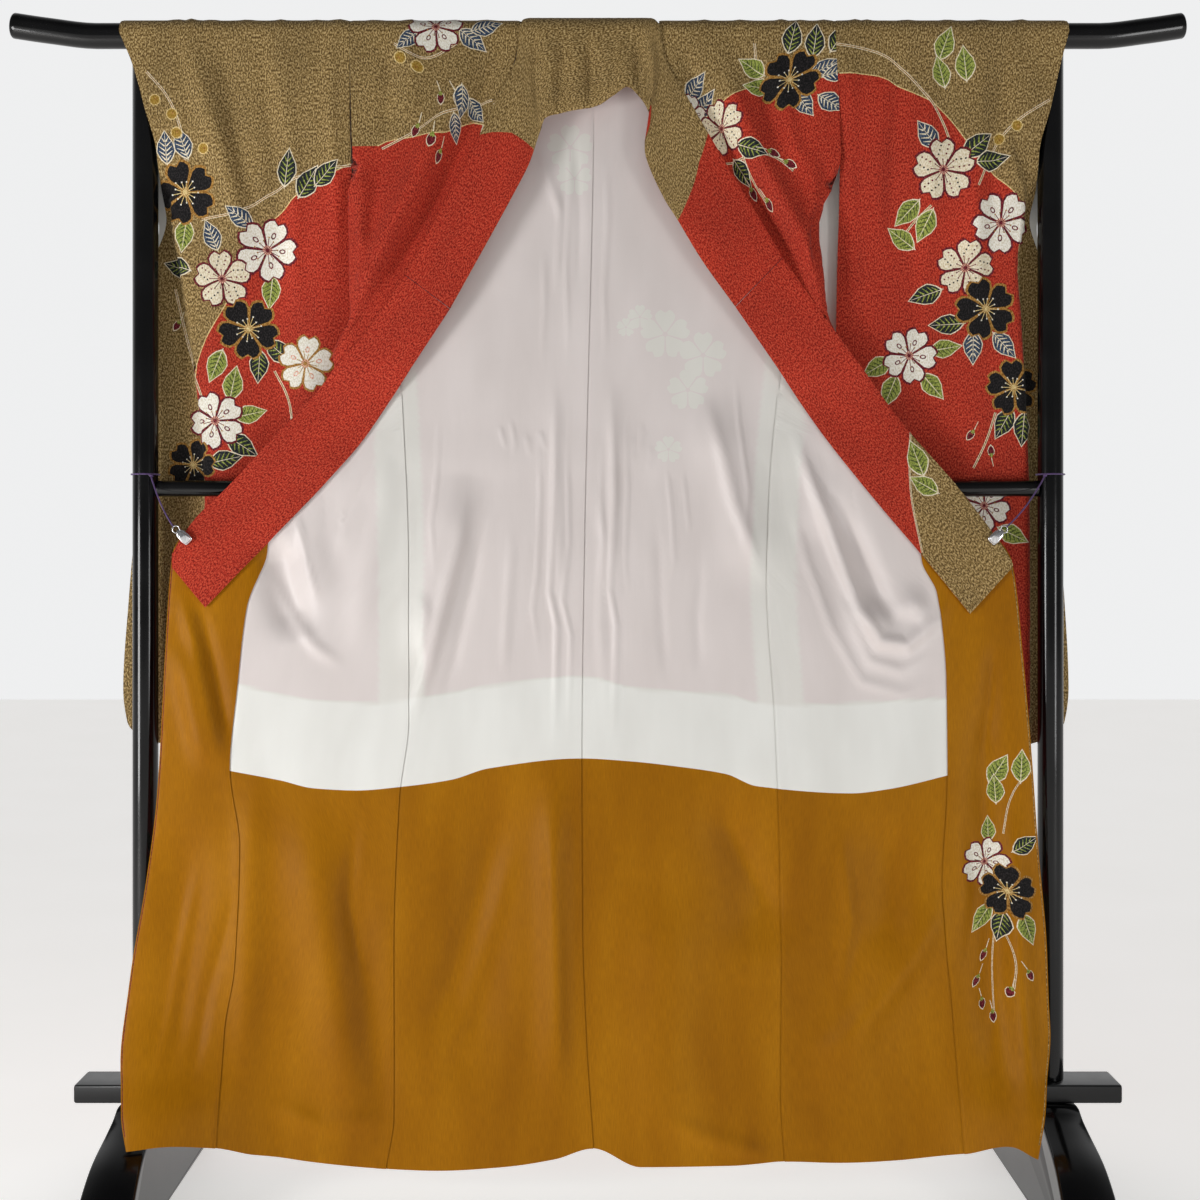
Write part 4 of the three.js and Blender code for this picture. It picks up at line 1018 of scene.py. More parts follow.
def flower(kind):
    outline, fill, mark, stamen, tip = FLOWERS[kind]
    rounds = range(0, 360, 72)
    shapes = [(outline, turned(petal(0.14), t)) for t in rounds]
    shapes += [(fill, turned(petal(-0.04), t)) for t in rounds]
    for t in rounds:
        if mark == "dots":
            for k in range(6):
                across, out = (k % 2 - 0.5) * 0.26 + 0.05 * (k // 2), 0.5 + (k // 2) * 0.14
                shapes.append(("maroon" if k % 2 else "black", turned(oval(0.035, across, out, 1, 5), t)))
        elif mark:
            shapes.append((mark, turned(oval(0.08, 0, 0.5, 1.5, 8), t)))
            shapes.append((fill, turned(oval(0.045, 0, 0.5, 1.6, 6), t)))
    shapes.append(("pink" if fill in ("white", "cream") else "gold", oval(0.16)))
    for k in range(STAMENS):
        length = 0.40 if k % 2 else 0.31
        turn = k * 360 / STAMENS
        shapes.append((stamen, turned(bar((0, 0.05), (0, length), 0.012, 0.012), turn)))
        shapes.append((tip, turned(oval(0.03, 0, length + 0.02, 1, 5), turn)))
    shapes.append((stamen, oval(0.06, count=8)))
    return shapes


def leaf(kind):
    """A leaf from its stalk at the origin up to its tip at a height of 2."""
    ground, stripe = LEAVES[kind]
    out = np.linspace(0, 1, 9)
    teeth = 1 + 0.06 * (np.arange(9) % 2)
    across = 2 * LEAF_WIDE * np.sin(math.pi * out ** 0.8) ** 1.15 * teeth
    right = np.stack([across, 2 * out], 1)
    loop = np.concatenate([right, right[-2:0:-1] * (-1, 1)])
    middle = np.array([0, 1])
    shapes = [("cream", middle + (loop - middle) * 1.1), (ground, loop)]
    for side in (-1, 1):
        for k in range(LEAF_STRIPES):
            low = 0.22 + 1.4 * k / LEAF_STRIPES
            reach = 0.8 * np.interp(low + 0.2, 2 * out, across)
            shapes.append((stripe, bar((side * 0.05, low), (side * reach, low + 0.28), 0.05, 0.015)))
    shapes.append(("cream", bar((0, -0.15), (0, 1.86), 0.028, 0.012)))
    return shapes


def bud():
    drop = np.array([(0, -0.7), (0.42, -0.35), (0.5, 0.15), (0.3, 0.65), (0, 0.95), (-0.3, 0.65), (-0.5, 0.15),
                     (-0.42, -0.35)])
    cup = np.array([(0, -1.0), (0.36, -0.55), (0.12, -0.2), (0, -0.42), (-0.12, -0.2), (-0.36, -0.55)])
    return [("cream", drop * 1.2), ("maroon", drop), ("green", cup),
            ("cream", bar((0, -1), (0.25, -2.4), 0.08, 0.05))]


def ground(outline, last):
    """The red ground, and the pale line along its border from the second point to the last."""
    return [[("red", outline)], [("pale_gold", ribbon(outline[1:last], BORDER_LINE, 1))]]


def berry():
    return [("pale_gold", oval(1.2)), ("amber", oval(1.0)), ("gold", oval(0.3, 0.2, 0.2, 1, 6))]


def ribbon(path, wide, rounds=3):
    """A strip of even width along a path, its corners cut round."""
    path = np.array(path, float)
    for _ in range(rounds):
        cut = np.stack([lerp(path[:-1], path[1:], 0.25), lerp(path[:-1], path[1:], 0.75)], 1).reshape(-1, 2)
        path = np.concatenate([path[:1], cut, path[-1:]])
    along = np.gradient(path, axis=0)
    along /= np.linalg.norm(along, axis=1, keepdims=True)
    across = np.stack([-along[:, 1], along[:, 0]], 1) * wide / 2
    return np.concatenate([path - across, (path + across)[::-1]])


def branch(path, wide=3.2):
    return [("cream", ribbon(path, wide)), ("gold", ribbon(path, wide * 0.42))]


def shapes_of(kind):
    if kind in FLOWERS:
        return flower(kind)
    if kind in LEAVES:
        return leaf(kind)
    return bud() if kind == "bud" else berry()


def motifs(rows, clusters=()):
    """Printed shapes from rows of kind, x, z and size. Leaves and buds grow away from the nearest flower."""
    rows = list(rows)
    for x, z, turn, scale in clusters:
        for kind, dx, dz, size in CLUSTER:
            (px, pz), = turned(np.array([(dx, dz)]) * scale, turn)
            rows.append((kind, x + px, z + pz, size * scale))
    flowers = np.array([row[1:3] for row in rows if row[0] in FLOWERS])
    groups = []
    for order, (kind, x, z, size) in enumerate(sorted(rows, key=lambda row: row[0] in FLOWERS)):
        if kind in FLOWERS:
            turn = (order * 29) % 72
        else:
            away = np.array([x, z]) - flowers[np.hypot(*(flowers - (x, z)).T).argmin()]
            turn = math.degrees(math.atan2(-away[0], away[1])) + (order * 37) % 41 - 20
        start = (0, -1) if kind in LEAVES else (0, 0)
        groups.append([(paint, turned(loop + start, turn) * size + (x, z)) for paint, loop in shapes_of(kind)])
    return groups


# Kind, x from the cluster's middle, z from it, size.
CLUSTER = [
    ("black", 0, 0, 43), ("white", 74, 26, 42), ("dotted", 24, 82, 40), ("tan", -70, 60, 36),
    ("green", -62, -22, 25), ("green", -44, -52, 24), ("dark", 64, -42, 25), ("dark", 96, -28, 23),
    ("navy", 92, 92, 24), ("navy", 68, 116, 22), ("dark", -26, 118, 23), ("green", -98, 8, 24),
    ("bud", -112, 96, 11), ("bud", -92, 122, 11), ("bud", 4, -86, 11), ("bud", 30, -104, 11),
    ("berry", 128, 52, 6), ("berry", 140, 76, 6), ("berry", -70, 142, 6),
]
SLEEVE_LEFT_ROWS = [
    ("black", -588, 1432, 44), ("white", -474, 1352, 44), ("dotted", -538, 1310, 40), ("black", -502, 1240, 43),
    ("tan", -420, 1190, 40), ("white", -550, 1108, 41), ("black", -588, 1046, 37), ("navy", -614, 1494, 22),
    ("navy", -590, 1500, 22), ("navy", -512, 1398, 22), ("navy", -552, 1372, 22), ("dark", -442, 1466, 25),
    ("dark", -412, 1446, 25), ("dark", -386, 1458, 23), ("green", -592, 1372, 23), ("green", -470, 1292, 23),
    ("dark", -462, 1210, 25), ("dark", -488, 1186, 23), ("green", -548, 1186, 24), ("green", -524, 1162, 24),
    ("dark", -512, 1072, 25), ("dark", -536, 1052, 24), ("green", -500, 1118, 22), ("dark", -606, 1330, 22),
    ("berry", -604, 1540, 7), ("berry", -598, 1514, 7), ("berry", -560, 1492, 7), ("berry", -628, 1560, 7),
    ("bud", -440, 1102, 9), ("bud", -610, 1248, 9),
]
BODY_LEFT_ROWS = [
    ("white", -230, 1664, 38), ("navy", -178, 1644, 23), ("navy", -158, 1664, 22), ("navy", -270, 1646, 20),
    ("berry", -284, 1620, 8), ("berry", -262, 1606, 8), ("bud", -238, 1560, 11), ("bud", -214, 1558, 11),
    ("bud", -280, 1516, 11), ("bud", -254, 1500, 11), ("bud", -240, 1480, 11), ("navy", -206, 1556, 22),
    ("navy", -178, 1546, 22), ("navy", -214, 1520, 20), ("green", -128, 1538, 23), ("green", -150, 1504, 22),
]
BODY_RIGHT_ROWS = [
    ("navy", 140, 1580, 24), ("navy", 156, 1556, 24), ("white", 128, 1538, 30), ("dotted", 184, 1522, 38),
    ("dark", 232, 1488, 24), ("dark", 212, 1458, 23), ("bud", 264, 1482, 11), ("bud", 290, 1468, 11),
    ("bud", 226, 1430, 11), ("bud", 254, 1412, 11), ("green", 222, 1606, 23), ("green", 236, 1578, 22),
    ("black", 282, 1588, 43), ("dark", 276, 1650, 24), ("dark", 308, 1644, 24), ("dark", 342, 1648, 22),
    ("navy", 328, 1606, 22), ("navy", 350, 1600, 22), ("navy", 312, 1554, 22), ("navy", 350, 1556, 22),
]
SLEEVE_RIGHT_ROWS = [
    ("dotted", 492, 1464, 43), ("white", 576, 1390, 43), ("dotted", 526, 1326, 40), ("black", 556, 1268, 43),
    ("white", 448, 1202, 40), ("black", 598, 1156, 40), ("white", 556, 986, 38), ("green", 492, 1640, 24),
    ("green", 520, 1612, 24), ("green", 486, 1600, 22), ("navy", 468, 1512, 23), ("dark", 538, 1496, 25),
    ("dark", 560, 1476, 24), ("green", 442, 1404, 24), ("green", 468, 1386, 24), ("green", 434, 1368, 23),
    ("dark", 470, 1288, 24), ("dark", 500, 1246, 24), ("navy", 538, 1212, 23), ("navy", 584, 1216, 23),
    ("green", 400, 1184, 23), ("green", 420, 1150, 24), ("green", 482, 1158, 23), ("green", 500, 1212, 22),
    ("berry", 570, 1506, 7), ("berry", 594, 1524, 7), ("dark", 584, 1104, 24), ("dark", 612, 1096, 24),
    ("green", 598, 944, 23), ("green", 512, 950, 23), ("bud", 566, 1064, 9), ("bud", 536, 1088, 9),
]
OKUMI_ROWS = [
    ("white", 546, 480, 34), ("black", 576, 440, 37), ("green", 566, 612, 23), ("green", 596, 618, 22),
    ("green", 562, 584, 20), ("green", 552, 526, 18), ("dark", 600, 508, 20), ("green", 542, 402, 22),
    ("dark", 568, 388, 22), ("green", 600, 392, 22), ("bud", 544, 350, 9), ("bud", 532, 318, 9),
    ("bud", 578, 300, 9), ("bud", 540, 284, 9), ("bud", 602, 330, 9), ("bud", 556, 262, 9),
]
OKUMI_STEMS = [[(628, 634), (602, 608), (580, 574), (572, 520)], [(566, 410), (556, 350), (558, 268)],
               [(566, 396), (586, 350), (582, 306)]]
BRANCHES_LEFT = [[(-346, 1470), (-422, 1456), (-470, 1430), (-508, 1404), (-566, 1394)],
                 [(-640, 1600), (-604, 1560), (-586, 1500), (-588, 1440)],
                 [(-612, 1300), (-590, 1200), (-562, 1120)], [(-466, 1180), (-444, 1140), (-440, 1096)]]
BRANCHES_RIGHT = [[(336, 1640), (400, 1628), (434, 1604), (484, 1546), (506, 1488)],
                  [(640, 1560), (590, 1530), (560, 1490), (540, 1440)], [(476, 1414), (450, 1390), (430, 1360)],
                  [(572, 1120), (560, 1080), (540, 1040)]]
BRANCHES_BODY = [[(-330, 1490), (-270, 1520), (-214, 1548), (-150, 1560)],
                 [(-290, 1640), (-250, 1612), (-200, 1640)],
                 [(180, 1470), (222, 1480), (268, 1478), (296, 1458)], [(222, 1640), (228, 1590), (268, 1560)],
                 [(212, 1500), (226, 1450), (256, 1404)]]
# The red ground's borders on the front layers, and on what faces the back.
RED_BODY_LEFT = [(-900, 1490), (-336, 1494), (-320, 1502), (-280, 1507), (-238, 1509), (-210, 1522), (-186, 1532),
                 (-160, 1524), (-132, 1516), (-90, 1488), (60, 1470), (60, 1000), (-900, 1000)]
RED_BODY_RIGHT = [(20, 1540), (150, 1540), (176, 1548), (198, 1564), (222, 1576), (252, 1586), (286, 1594),
                  (342, 1598), (900, 1598), (900, 1000), (20, 1000)]
RED_SLEEVE_LEFT = [(-300, 1476), (-352, 1472), (-380, 1456), (-410, 1438), (-432, 1426), (-448, 1408),
                   (-468, 1394), (-490, 1360), (-508, 1322), (-530, 1280), (-550, 1246), (-566, 1220),
                   (-580, 1180), (-578, 1100), (-568, 1010), (-568, 850), (-574, 600), (-300, 600)]
RED_SLEEVE_RIGHT = [(300, 1600), (342, 1598), (372, 1597), (406, 1592), (430, 1578), (468, 1562), (488, 1546),
                    (508, 1524), (526, 1498), (564, 1456), (586, 1438), (600, 1424), (604, 1380), (602, 1320),
                    (611, 1231), (622, 1010), (623, 850), (622, 600), (300, 600)]
RED_BACK = [(-900, 1500), (-352, 1490), (-300, 1512), (-240, 1544), (-170, 1536), (-110, 1500), (-40, 1496),
            (40, 1530), (110, 1580), (190, 1590), (260, 1566), (342, 1560), (900, 1560), (900, 430), (600, 420),
            (520, 380), (430, 372), (340, 410), (250, 404), (160, 350), (70, 318), (-60, 300), (-160, 326),
            (-260, 372), (-350, 366), (-440, 320), (-540, 310), (-900, 300)]
RED_SLEEVE_BACK = [(300, 1520), (360, 1540), (430, 1520), (500, 1470), (560, 1440), (720, 1430), (720, 800),
                   (620, 770), (540, 790), (460, 760), (380, 720), (300, 716)]
BACK_CLUSTERS = [(-190, 1400, 0, 1.1), (190, 1480, 80, 1), (-60, 1180, 150, 0.9), (-430, 330, 40, 1.1),
                 (-150, 250, 200, 1), (140, 380, 320, 1.1), (400, 250, 100, 1), (560, 480, 10, 0.9),
                 (-560, 540, 250, 0.9), (330, 620, 170, 0.8), (-120, 560, 60, 0.8), (40, 900, 20, 0.7)]
SLEEVE_BACK_CLUSTERS = [(470, 1370, 20, 1.1), (540, 1130, 160, 1), (420, 960, 280, 0.9), (520, 770, 60, 1.05)]


def near(groups, sheet, to_flat):
    """The printed shapes that reach a sheet, in its flat coordinates."""
    low, high = sheet.outline().min(0), sheet.outline().max(0)
    found = []
    for group in groups:
        laid = [(paint, to_flat(np.array(loop, float))) for paint, loop in group]
        box = laid[0][1]
        if (box.max(0) > low).all() and (box.min(0) < high).all():
            found += laid
    return found


def on_body(places):
    return places * (1, -1)


def on_sleeve_back(places):
    return np.stack([places[:, 0], 2 * ROD_Z + SLEEVE_ARC - places[:, 1]], 1)


def region(sheet, places, to_end):
    """The part of a collar past a line across it, towards its end or its start."""
    flat = sheet.flat_of(places)
    wide = np.abs(sheet.a).max() + 20
    far = sheet.b[-1] + 20 if to_end else sheet.b[0] - 20
    return np.array([(-wide, flat[0][1]), *flat, (wide, flat[-1][1]), (wide, far), (-wide, far)])


# ---------------------------------------------------------------- shells
FINE_CREASE = 5.5       # creases up to this half width get points of their own in the lining
GUIDE_STEPS = (-2.1, -1.3, -0.65, 0, 0.65, 1.3, 2.1)    # places of these points across a crease, in half widths
GUIDE_PITCH = 5
GUIDE_GAP = 2.4         # other points stay this far off them,
PRINT_GAP = 1.6         # and this far off a print's outline
HEX_ROW = 0.866         # between rows of the lattice, in pitches
GROOVE_DEEP = 0.8       # groove along a seam
GROOVE_HALF = 2.4
RELIEF = 0.7            # a layer's hidden side stands this much off the middle
BORDER = (1.6, 4.0)     # rows of points this far inside a seam


def crease_guides():
    """Points along the fine creases of the lining, and beside them."""
    found = []
    for half, _, path in CREASES:
        if half > FINE_CREASE:
            continue
        line = ribbon(path, 0.01, 2)
        line = close_set(line[:len(line) // 2], GUIDE_PITCH)[:-1]
        ahead = np.gradient(line, axis=0)
        ahead /= np.maximum(np.hypot(*ahead.T)[:, None], 1e-9)
        across = np.stack([-ahead[:, 1], ahead[:, 0]], 1)
        found += [line + across * half * step for step in GUIDE_STEPS]
    return on_body(np.concatenate(found))


def counter_clockwise(loop):
    x, y = loop[:, 0], loop[:, 1]
    area = (x * np.roll(y, -1) - y * np.roll(x, -1)).sum()
    return loop if area > 0 else loop[::-1]


def close_set(loop, pitch):
    """A closed loop with no edge longer than the pitch."""
    ends = np.roll(loop, -1, 0)
    parts = np.maximum(np.ceil(np.hypot(*(ends - loop).T) / pitch).astype(int), 1)
    return np.concatenate([lerp(start, end, np.arange(n)[:, None] / n)
                           for start, end, n in zip(loop, ends, parts)])


CREASE_GUIDES = crease_guides()


def cut_cloth(sheet, pitch, prints=(), guides=()):
    """The flat cut in triangles, with the outline of each print as edges.

    Returns flat points, triangles, and for each triangle the number of the topmost print on it, from 1,
    or 0 where it is bare.
    """
    outline = sheet.outline()
    low, high = outline.min(0), outline.max(0)
    a = np.arange(low[0] + pitch / 2, high[0], pitch)
    b = np.arange(low[1] + pitch / 2, high[1], pitch * HEX_ROW)
    grid = np.stack(np.meshgrid(a, b, indexing="xy"), -1)
    grid[1::2, :, 0] += pitch / 2
    grid = grid.reshape(-1, 2)
    left, right = sheet.sides(grid[:, 1])
    margin = BORDER[-1] + pitch * 0.4
    grid = grid[(grid[:, 0] > left + margin) & (grid[:, 0] < right - margin)]
    left, right = sheet.sides(b)
    border = [np.stack([side, b], 1) for d in BORDER for side in (left + d, right - d)]
    if len(guides):
        left, right = sheet.sides(guides[:, 1])
        on = (guides[:, 0] > left + margin) & (guides[:, 0] < right - margin)
        on &= (guides[:, 1] > sheet.b[0] + 3) & (guides[:, 1] < sheet.b[-1] - 3)
        guides = guides[on]
        if len(guides):
            grid = away_from(grid, guides, GUIDE_GAP)
            border.append(guides)
    grid = np.concatenate([grid, *border])
    prints = [close_set(loop, pitch) for loop in prints]
    loops = [counter_clockwise(loop) for loop in (outline, *prints)]
    if prints:
        grid = away_from(grid, np.concatenate(prints), PRINT_GAP)
    points = np.concatenate([*loops, grid])
    faces, start = [], 0
    for loop in loops:
        faces.append(list(range(start, start + len(loop))))
        start += len(loop)
    cut, _, triangles, _, _, owners = delaunay_2d_cdt(
        [Vector(p) for p in points.tolist()], [], faces, 1, 1e-3, True)
    keep = [k for k, own in enumerate(owners) if 0 in own]
    top = np.array([max(owners[k]) for k in keep])
    return np.array([tuple(p) for p in cut]), np.array([triangles[k] for k in keep]), top


def shell(name, sheet, thickness, offset, pitch, shown, hidden, prints, inside, tint, relief):
    """A closed thin shell on a sheet, its middle moved by offset to the side that is shown and printed."""
    flat, triangles, top = cut_cloth(sheet, pitch, [loop for _, loop in prints], CREASE_GUIDES if inside else ())
    used, triangles = np.unique(triangles, return_inverse=True)
    triangles = triangles.reshape(-1, 3)
    flat = flat[used]
    base, normals = sheet.lift(flat)
    normals = normals * sheet.outward * (-1 if inside else 1)
    count = len(flat)
    corner = base[triangles]
    facing = np.cross(corner[:, 1] - corner[:, 0], corner[:, 2] - corner[:, 0])
    flipped = (facing * normals[triangles[:, 0]]).sum(1) < 0
    triangles[flipped] = triangles[flipped][:, ::-1]
    left, right = sheet.sides(flat[:, 1])
    from_left, from_right = flat[:, 0] - left, right - flat[:, 0]
    dip = GROOVE_DEEP * (bell(from_left, GROOVE_HALF) + bell(from_right, GROOVE_HALF))
    outer_points = base + normals * (offset + thickness / 2 - dip)[:, None]
    inner_points = base + normals * (offset - thickness / 2 + relief)
    ahead = sheet.lift(flat + (1.0, 0))[0] - sheet.lift(flat - (1.0, 0))[0]
    ahead /= np.maximum(np.linalg.norm(ahead, axis=1, keepdims=True), 1e-9)
    slope = 2 * GROOVE_DEEP / GROOVE_HALF ** 2 * (
        from_left * bell(from_left, GROOVE_HALF) - from_right * bell(from_right, GROOVE_HALF))
    lit = normals - ahead * slope[:, None]
    lit /= np.linalg.norm(lit, axis=1, keepdims=True)
    points = np.concatenate([outer_points, inner_points]) * MM
    edges = np.concatenate([triangles[:, [0, 1]], triangles[:, [1, 2]], triangles[:, [2, 0]]])
    keys = {(a, b) for a, b in edges.tolist()}
    rim = np.array([(b, a, a + count, b + count) for a, b in sorted(keys) if (b, a) not in keys])
    faces = [*triangles.tolist(), *(triangles[:, ::-1] + count).tolist(), *rim.tolist()]
    mesh = bpy.data.meshes.new(name)
    mesh.from_pydata(points.tolist(), [], faces)
    paints = [shown, *(PAINTS[paint] for paint, _ in prints)]
    named = list(dict.fromkeys([*paints, hidden]))
    for paint in named:
        mesh.materials.append(paint)
    paint = np.array([named.index(m) for m in paints])
    index = np.concatenate([paint[top], np.full(len(triangles), named.index(hidden)),
                            np.full(len(rim), named.index(shown))])
    mesh.polygons.foreach_set("material_index", index.astype(np.int32))
    mesh.polygons.foreach_set("use_smooth", np.ones(len(faces), bool))
    layer = mesh.uv_layers.new(name="cloth")
    loops = np.concatenate([triangles.ravel(), triangles[:, ::-1].ravel(), rim.ravel() % count])
    layer.uv.foreach_set("vector", (flat[loops] * MM).astype(np.float32).ravel())
    if tint:
        shade = mesh.attributes.new("tint", "FLOAT", "POINT")
        shade.data.foreach_set("value", np.tile(tint(base[:, 0], base[:, 2]), 2).astype(np.float32))
    quads = points[rim] / MM
    side = np.cross(quads[:, 1] - quads[:, 0], quads[:, 3] - quads[:, 0])
    side /= np.maximum(np.linalg.norm(side, axis=1, keepdims=True), 1e-9)
    split = np.concatenate([lit[triangles.ravel()], -normals[triangles[:, ::-1].ravel()],
                            np.repeat(side, 4, axis=0)])
    mesh.normals_split_custom_set(split.tolist())
    return put(name, mesh)


def cloth(node, sheet, slot, thickness, offset, shown, hidden, pitch, prints=(), inside=False, tint=None):
    """The piece of cloth that stands for a node, made from its cut and put in place of the node's solid."""
    relief = RELIEF if offset else 0
    piece = shell(f"{node}_cloth", sheet, thickness, offset, pitch, shown, hidden, prints, inside, tint, relief)
    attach(piece, "root")
    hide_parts(node)


# ---------------------------------------------------------------- the garment's pieces
# The dyed crepe shows through the lining above this line: x, z.
TINT_FOOT = [(-509, 730), (-421, 710), (-315, 703), (-241, 713), (-154, 727), (-27, 741), (62, 723),
             (171, 716), (250, 700), (490, 710)]
TINT_SOFT = 5
# Strips of the seams' folded edges, where it doesn't: distance inside the side seam, outside it.
SELVEDGE = (26, 44)
BODY_PITCH = 10
SLEEVE_PITCH = 8.5
LINING_PITCH = 6
COLLAR_PITCH = 5


def tint_of(x, z):
    shade = smooth((z - column(TINT_FOOT, x)) / TINT_SOFT)
    for seam in (SIDE_SEAM_LEFT, SIDE_SEAM_RIGHT):
        out = (x - column(seam, z)) * (1 if seam is SIDE_SEAM_RIGHT else -1)
        strip = smooth((out + SELVEDGE[0]) / TINT_SOFT) * smooth((SELVEDGE[1] - out) / TINT_SOFT)
        shade = shade * (1 - 0.5 * strip)
    return shade


EDGE_STRIP = 2.6    # half width of the turned edge


def edge_strip(sheet, at_end, paint):
    """The crepe turned over a front edge, as a narrow strip of paint."""
    k, inward = (-1, -1) if at_end else (0, 1)
    b = sheet.b[::6]
    edge, wide = sheet.a[::6, k], EDGE_STRIP * inward
    return (paint, np.concatenate([np.stack([edge - wide, b], 1), np.stack([edge + wide, b], 1)[::-1]]))


# Motifs that show through the lining: x, z, size.
GHOSTS = [(-40, 1500, 34), (-34, 1455, 26), (96, 1230, 36), (150, 1200, 34), (128, 1150, 30), (100, 1064, 20),
          (60, 1255, 18), (40, 1240, 14)]


FREE_EDGE_TOP = 1120    # the overlap panels' edges follow the collar seam below this height
LOW_RED_TOP = 1004      # top of the back's red ground that the fronts' opened layer shows


def body_pieces():
    left_edge = [p for p in COLLAR_SEAM_LEFT if p[0] < FREE_EDGE_TOP] + EDGE_LEFT[1:]
    right_edge = [p for p in COLLAR_SEAM_RIGHT if p[0] < FREE_EDGE_TOP] + EDGE_RIGHT[1:]
    panels = {
        "back_left": back_sheet(SIDE_SEAM_LEFT, CENTRE_SEAM),
        "back_right": back_sheet(CENTRE_SEAM, SIDE_SEAM_RIGHT),
        "front_left": front_sheet(-1, SIDE_SEAM_LEFT, COLLAR_SEAM_LEFT, OKUMI_SEAM_LEFT, FOLD_LEFT),
        "front_right": front_sheet(1, SIDE_SEAM_RIGHT, COLLAR_SEAM_RIGHT, OKUMI_SEAM_RIGHT, FOLD_RIGHT),
        "okumi_left": okumi_sheet(left_edge, OKUMI_SEAM_LEFT),
        "okumi_right": okumi_sheet(OKUMI_SEAM_RIGHT, right_edge),
    }
    branches = [branch(path) for path in BRANCHES_BODY]
    chest = {
        "front_left": [*ground(RED_BODY_LEFT, 10), *branches, *motifs(BODY_LEFT_ROWS)],
        "front_right": [*ground(RED_BODY_RIGHT, 9), *branches, *motifs(BODY_RIGHT_ROWS)],
    }
    behind = motifs([], BACK_CLUSTERS)
    low_red = [(x, min(z, LOW_RED_TOP)) for x, z in RED_BACK]
    ghosts = [[("ghost", turned(petal(), t) * size + (x, z))]
              for x, z, size in GHOSTS for t in range(0, 360, 72)]
    spray = [branch(path, 2.2) for path in OKUMI_STEMS] + motifs(OKUMI_ROWS)
    for node, (sheet, rows) in panels.items():
        kind = node.split("_")[0]
        if kind == "front":
            low = [group for group in behind if max(p[1] for p in group[0][1]) < FOLD_FOOT]
            groups = [chest[node][0], [("red", low_red)], *chest[node][1:], *low]
        else:
            groups = [[("red", RED_BACK)], *behind]
        prints = near(groups, sheet, on_body)
        cloth(node, sheet, "crepe", CLOTH, OUTER_OFFSET, PAINTS["olive"], PAINTS["red"], BODY_PITCH, prints)
        lining = {"thickness": LINING, "offset": LINING_OFFSET, "inside": True, "pitch": LINING_PITCH}
        hem = {"slot": "hem_lining", "shown": OCHRE, "hidden": OCHRE, **lining}
        if kind == "okumi":
            is_right = node == "okumi_right"
            edge = edge_strip(sheet, is_right, "olive" if is_right else "maroon")
            prints = near(spray if is_right else [], sheet, on_body)
            cloth(f"hem_lining_{node}", sheet, prints=[*prints, edge], **hem)
            continue
        first = TURN_ROWS + 1 if kind == "back" else SHOULDER - 1
        part = sheet.part((rows >= first) & (rows <= JOIN_ROW))
        prints = near(ghosts, part, on_body) if kind == "back" else []
        cloth(f"lining_{node}", part, "lining", shown=LINING_SILK, hidden=LINING_SILK, prints=prints,
              tint=tint_of, **lining)
        cloth(f"hem_lining_{node}", sheet.part(rows >= JOIN_ROW), **hem)


def sleeve_pieces():
    for node, table, side, red, rows, branches in (
            ("sleeve_left", SLEEVE_LEFT, -1, RED_SLEEVE_LEFT, SLEEVE_LEFT_ROWS, BRANCHES_LEFT),
            ("sleeve_right", SLEEVE_RIGHT, 1, RED_SLEEVE_RIGHT, SLEEVE_RIGHT_ROWS, BRANCHES_RIGHT)):
        sheet = sleeve_sheet(table, side)
        front = [*ground(red, 14), *(branch(path) for path in branches), *motifs(rows)]
        clusters = [(side * x, z, side * turn, scale) for x, z, turn, scale in SLEEVE_BACK_CLUSTERS]
        back = [[("red", [(side * x, z) for x, z in RED_SLEEVE_BACK])], *motifs([], clusters)]
        prints = near(front, sheet, lambda places: places) + near(back, sheet, on_sleeve_back)
        cloth(node, sheet, "crepe", CLOTH, 0, PAINTS["olive"], LINING_SILK, SLEEVE_PITCH, prints)


COLLAR_RED_LEFT = [(-176, 1507), (-150, 1513), (-122, 1512), (-92, 1490)]
COLLAR_RED_RIGHT = [(156, 1512), (143, 1470), (128, 1420), (112, 1386)]
COLLAR_OLIVE_END = [(444, 1091), (441, 1060), (442, 1012), (446, 978), (458, 918)]
SEAM_LINE = 1.1
COLLAR_LEAVES = [(452, 1052, 25, 160), (462, 1014, 22, 200)]


def collar_pieces():
    over = over_collar_sheet()
    prints = [("red", region(over, COLLAR_RED_LEFT, False)), ("red", region(over, COLLAR_RED_RIGHT, True))]
    prints += [("maroon", ribbon([(-60, b), (60, b)], SEAM_LINE)) for b in (over.b[0], over.b[-1])]
    cloth("over_collar", over, "crepe", COLLAR_CLOTH, 0, PAINTS["olive"], PAINTS["red"], COLLAR_PITCH, prints)
    left = collar_end_sheet((1309.6, -272.3), COLLAR_SEAM_LEFT, (1262.6, -209.3), FREE_LEFT, -1)
    right = collar_end_sheet((1334.6, 261.3), COLLAR_SEAM_RIGHT, (1265.6, 194.3), FREE_RIGHT, 1)
    cloth("collar_end_left", left, "crepe", COLLAR_CLOTH, 0, PAINTS["red"], PAINTS["red"], COLLAR_PITCH)
    prints = [("olive", region(right, COLLAR_OLIVE_END, True))]
    line = right.flat_of(COLLAR_OLIVE_END)
    prints += [("cream", ribbon(line, 2.4)), ("gold", ribbon(line, 1.0))]
    for x, z, size, turn in COLLAR_LEAVES:
        middle = right.flat_of([(x, z)])[0]
        prints += [(paint, turned(loop + (0, -1), turn) * size + middle) for paint, loop in leaf("green")]
    cloth("collar_end_right", right, "crepe", COLLAR_CLOTH, 0, PAINTS["red"], PAINTS["red"], COLLAR_PITCH, prints)


body_pieces()
sleeve_pieces()
collar_pieces()


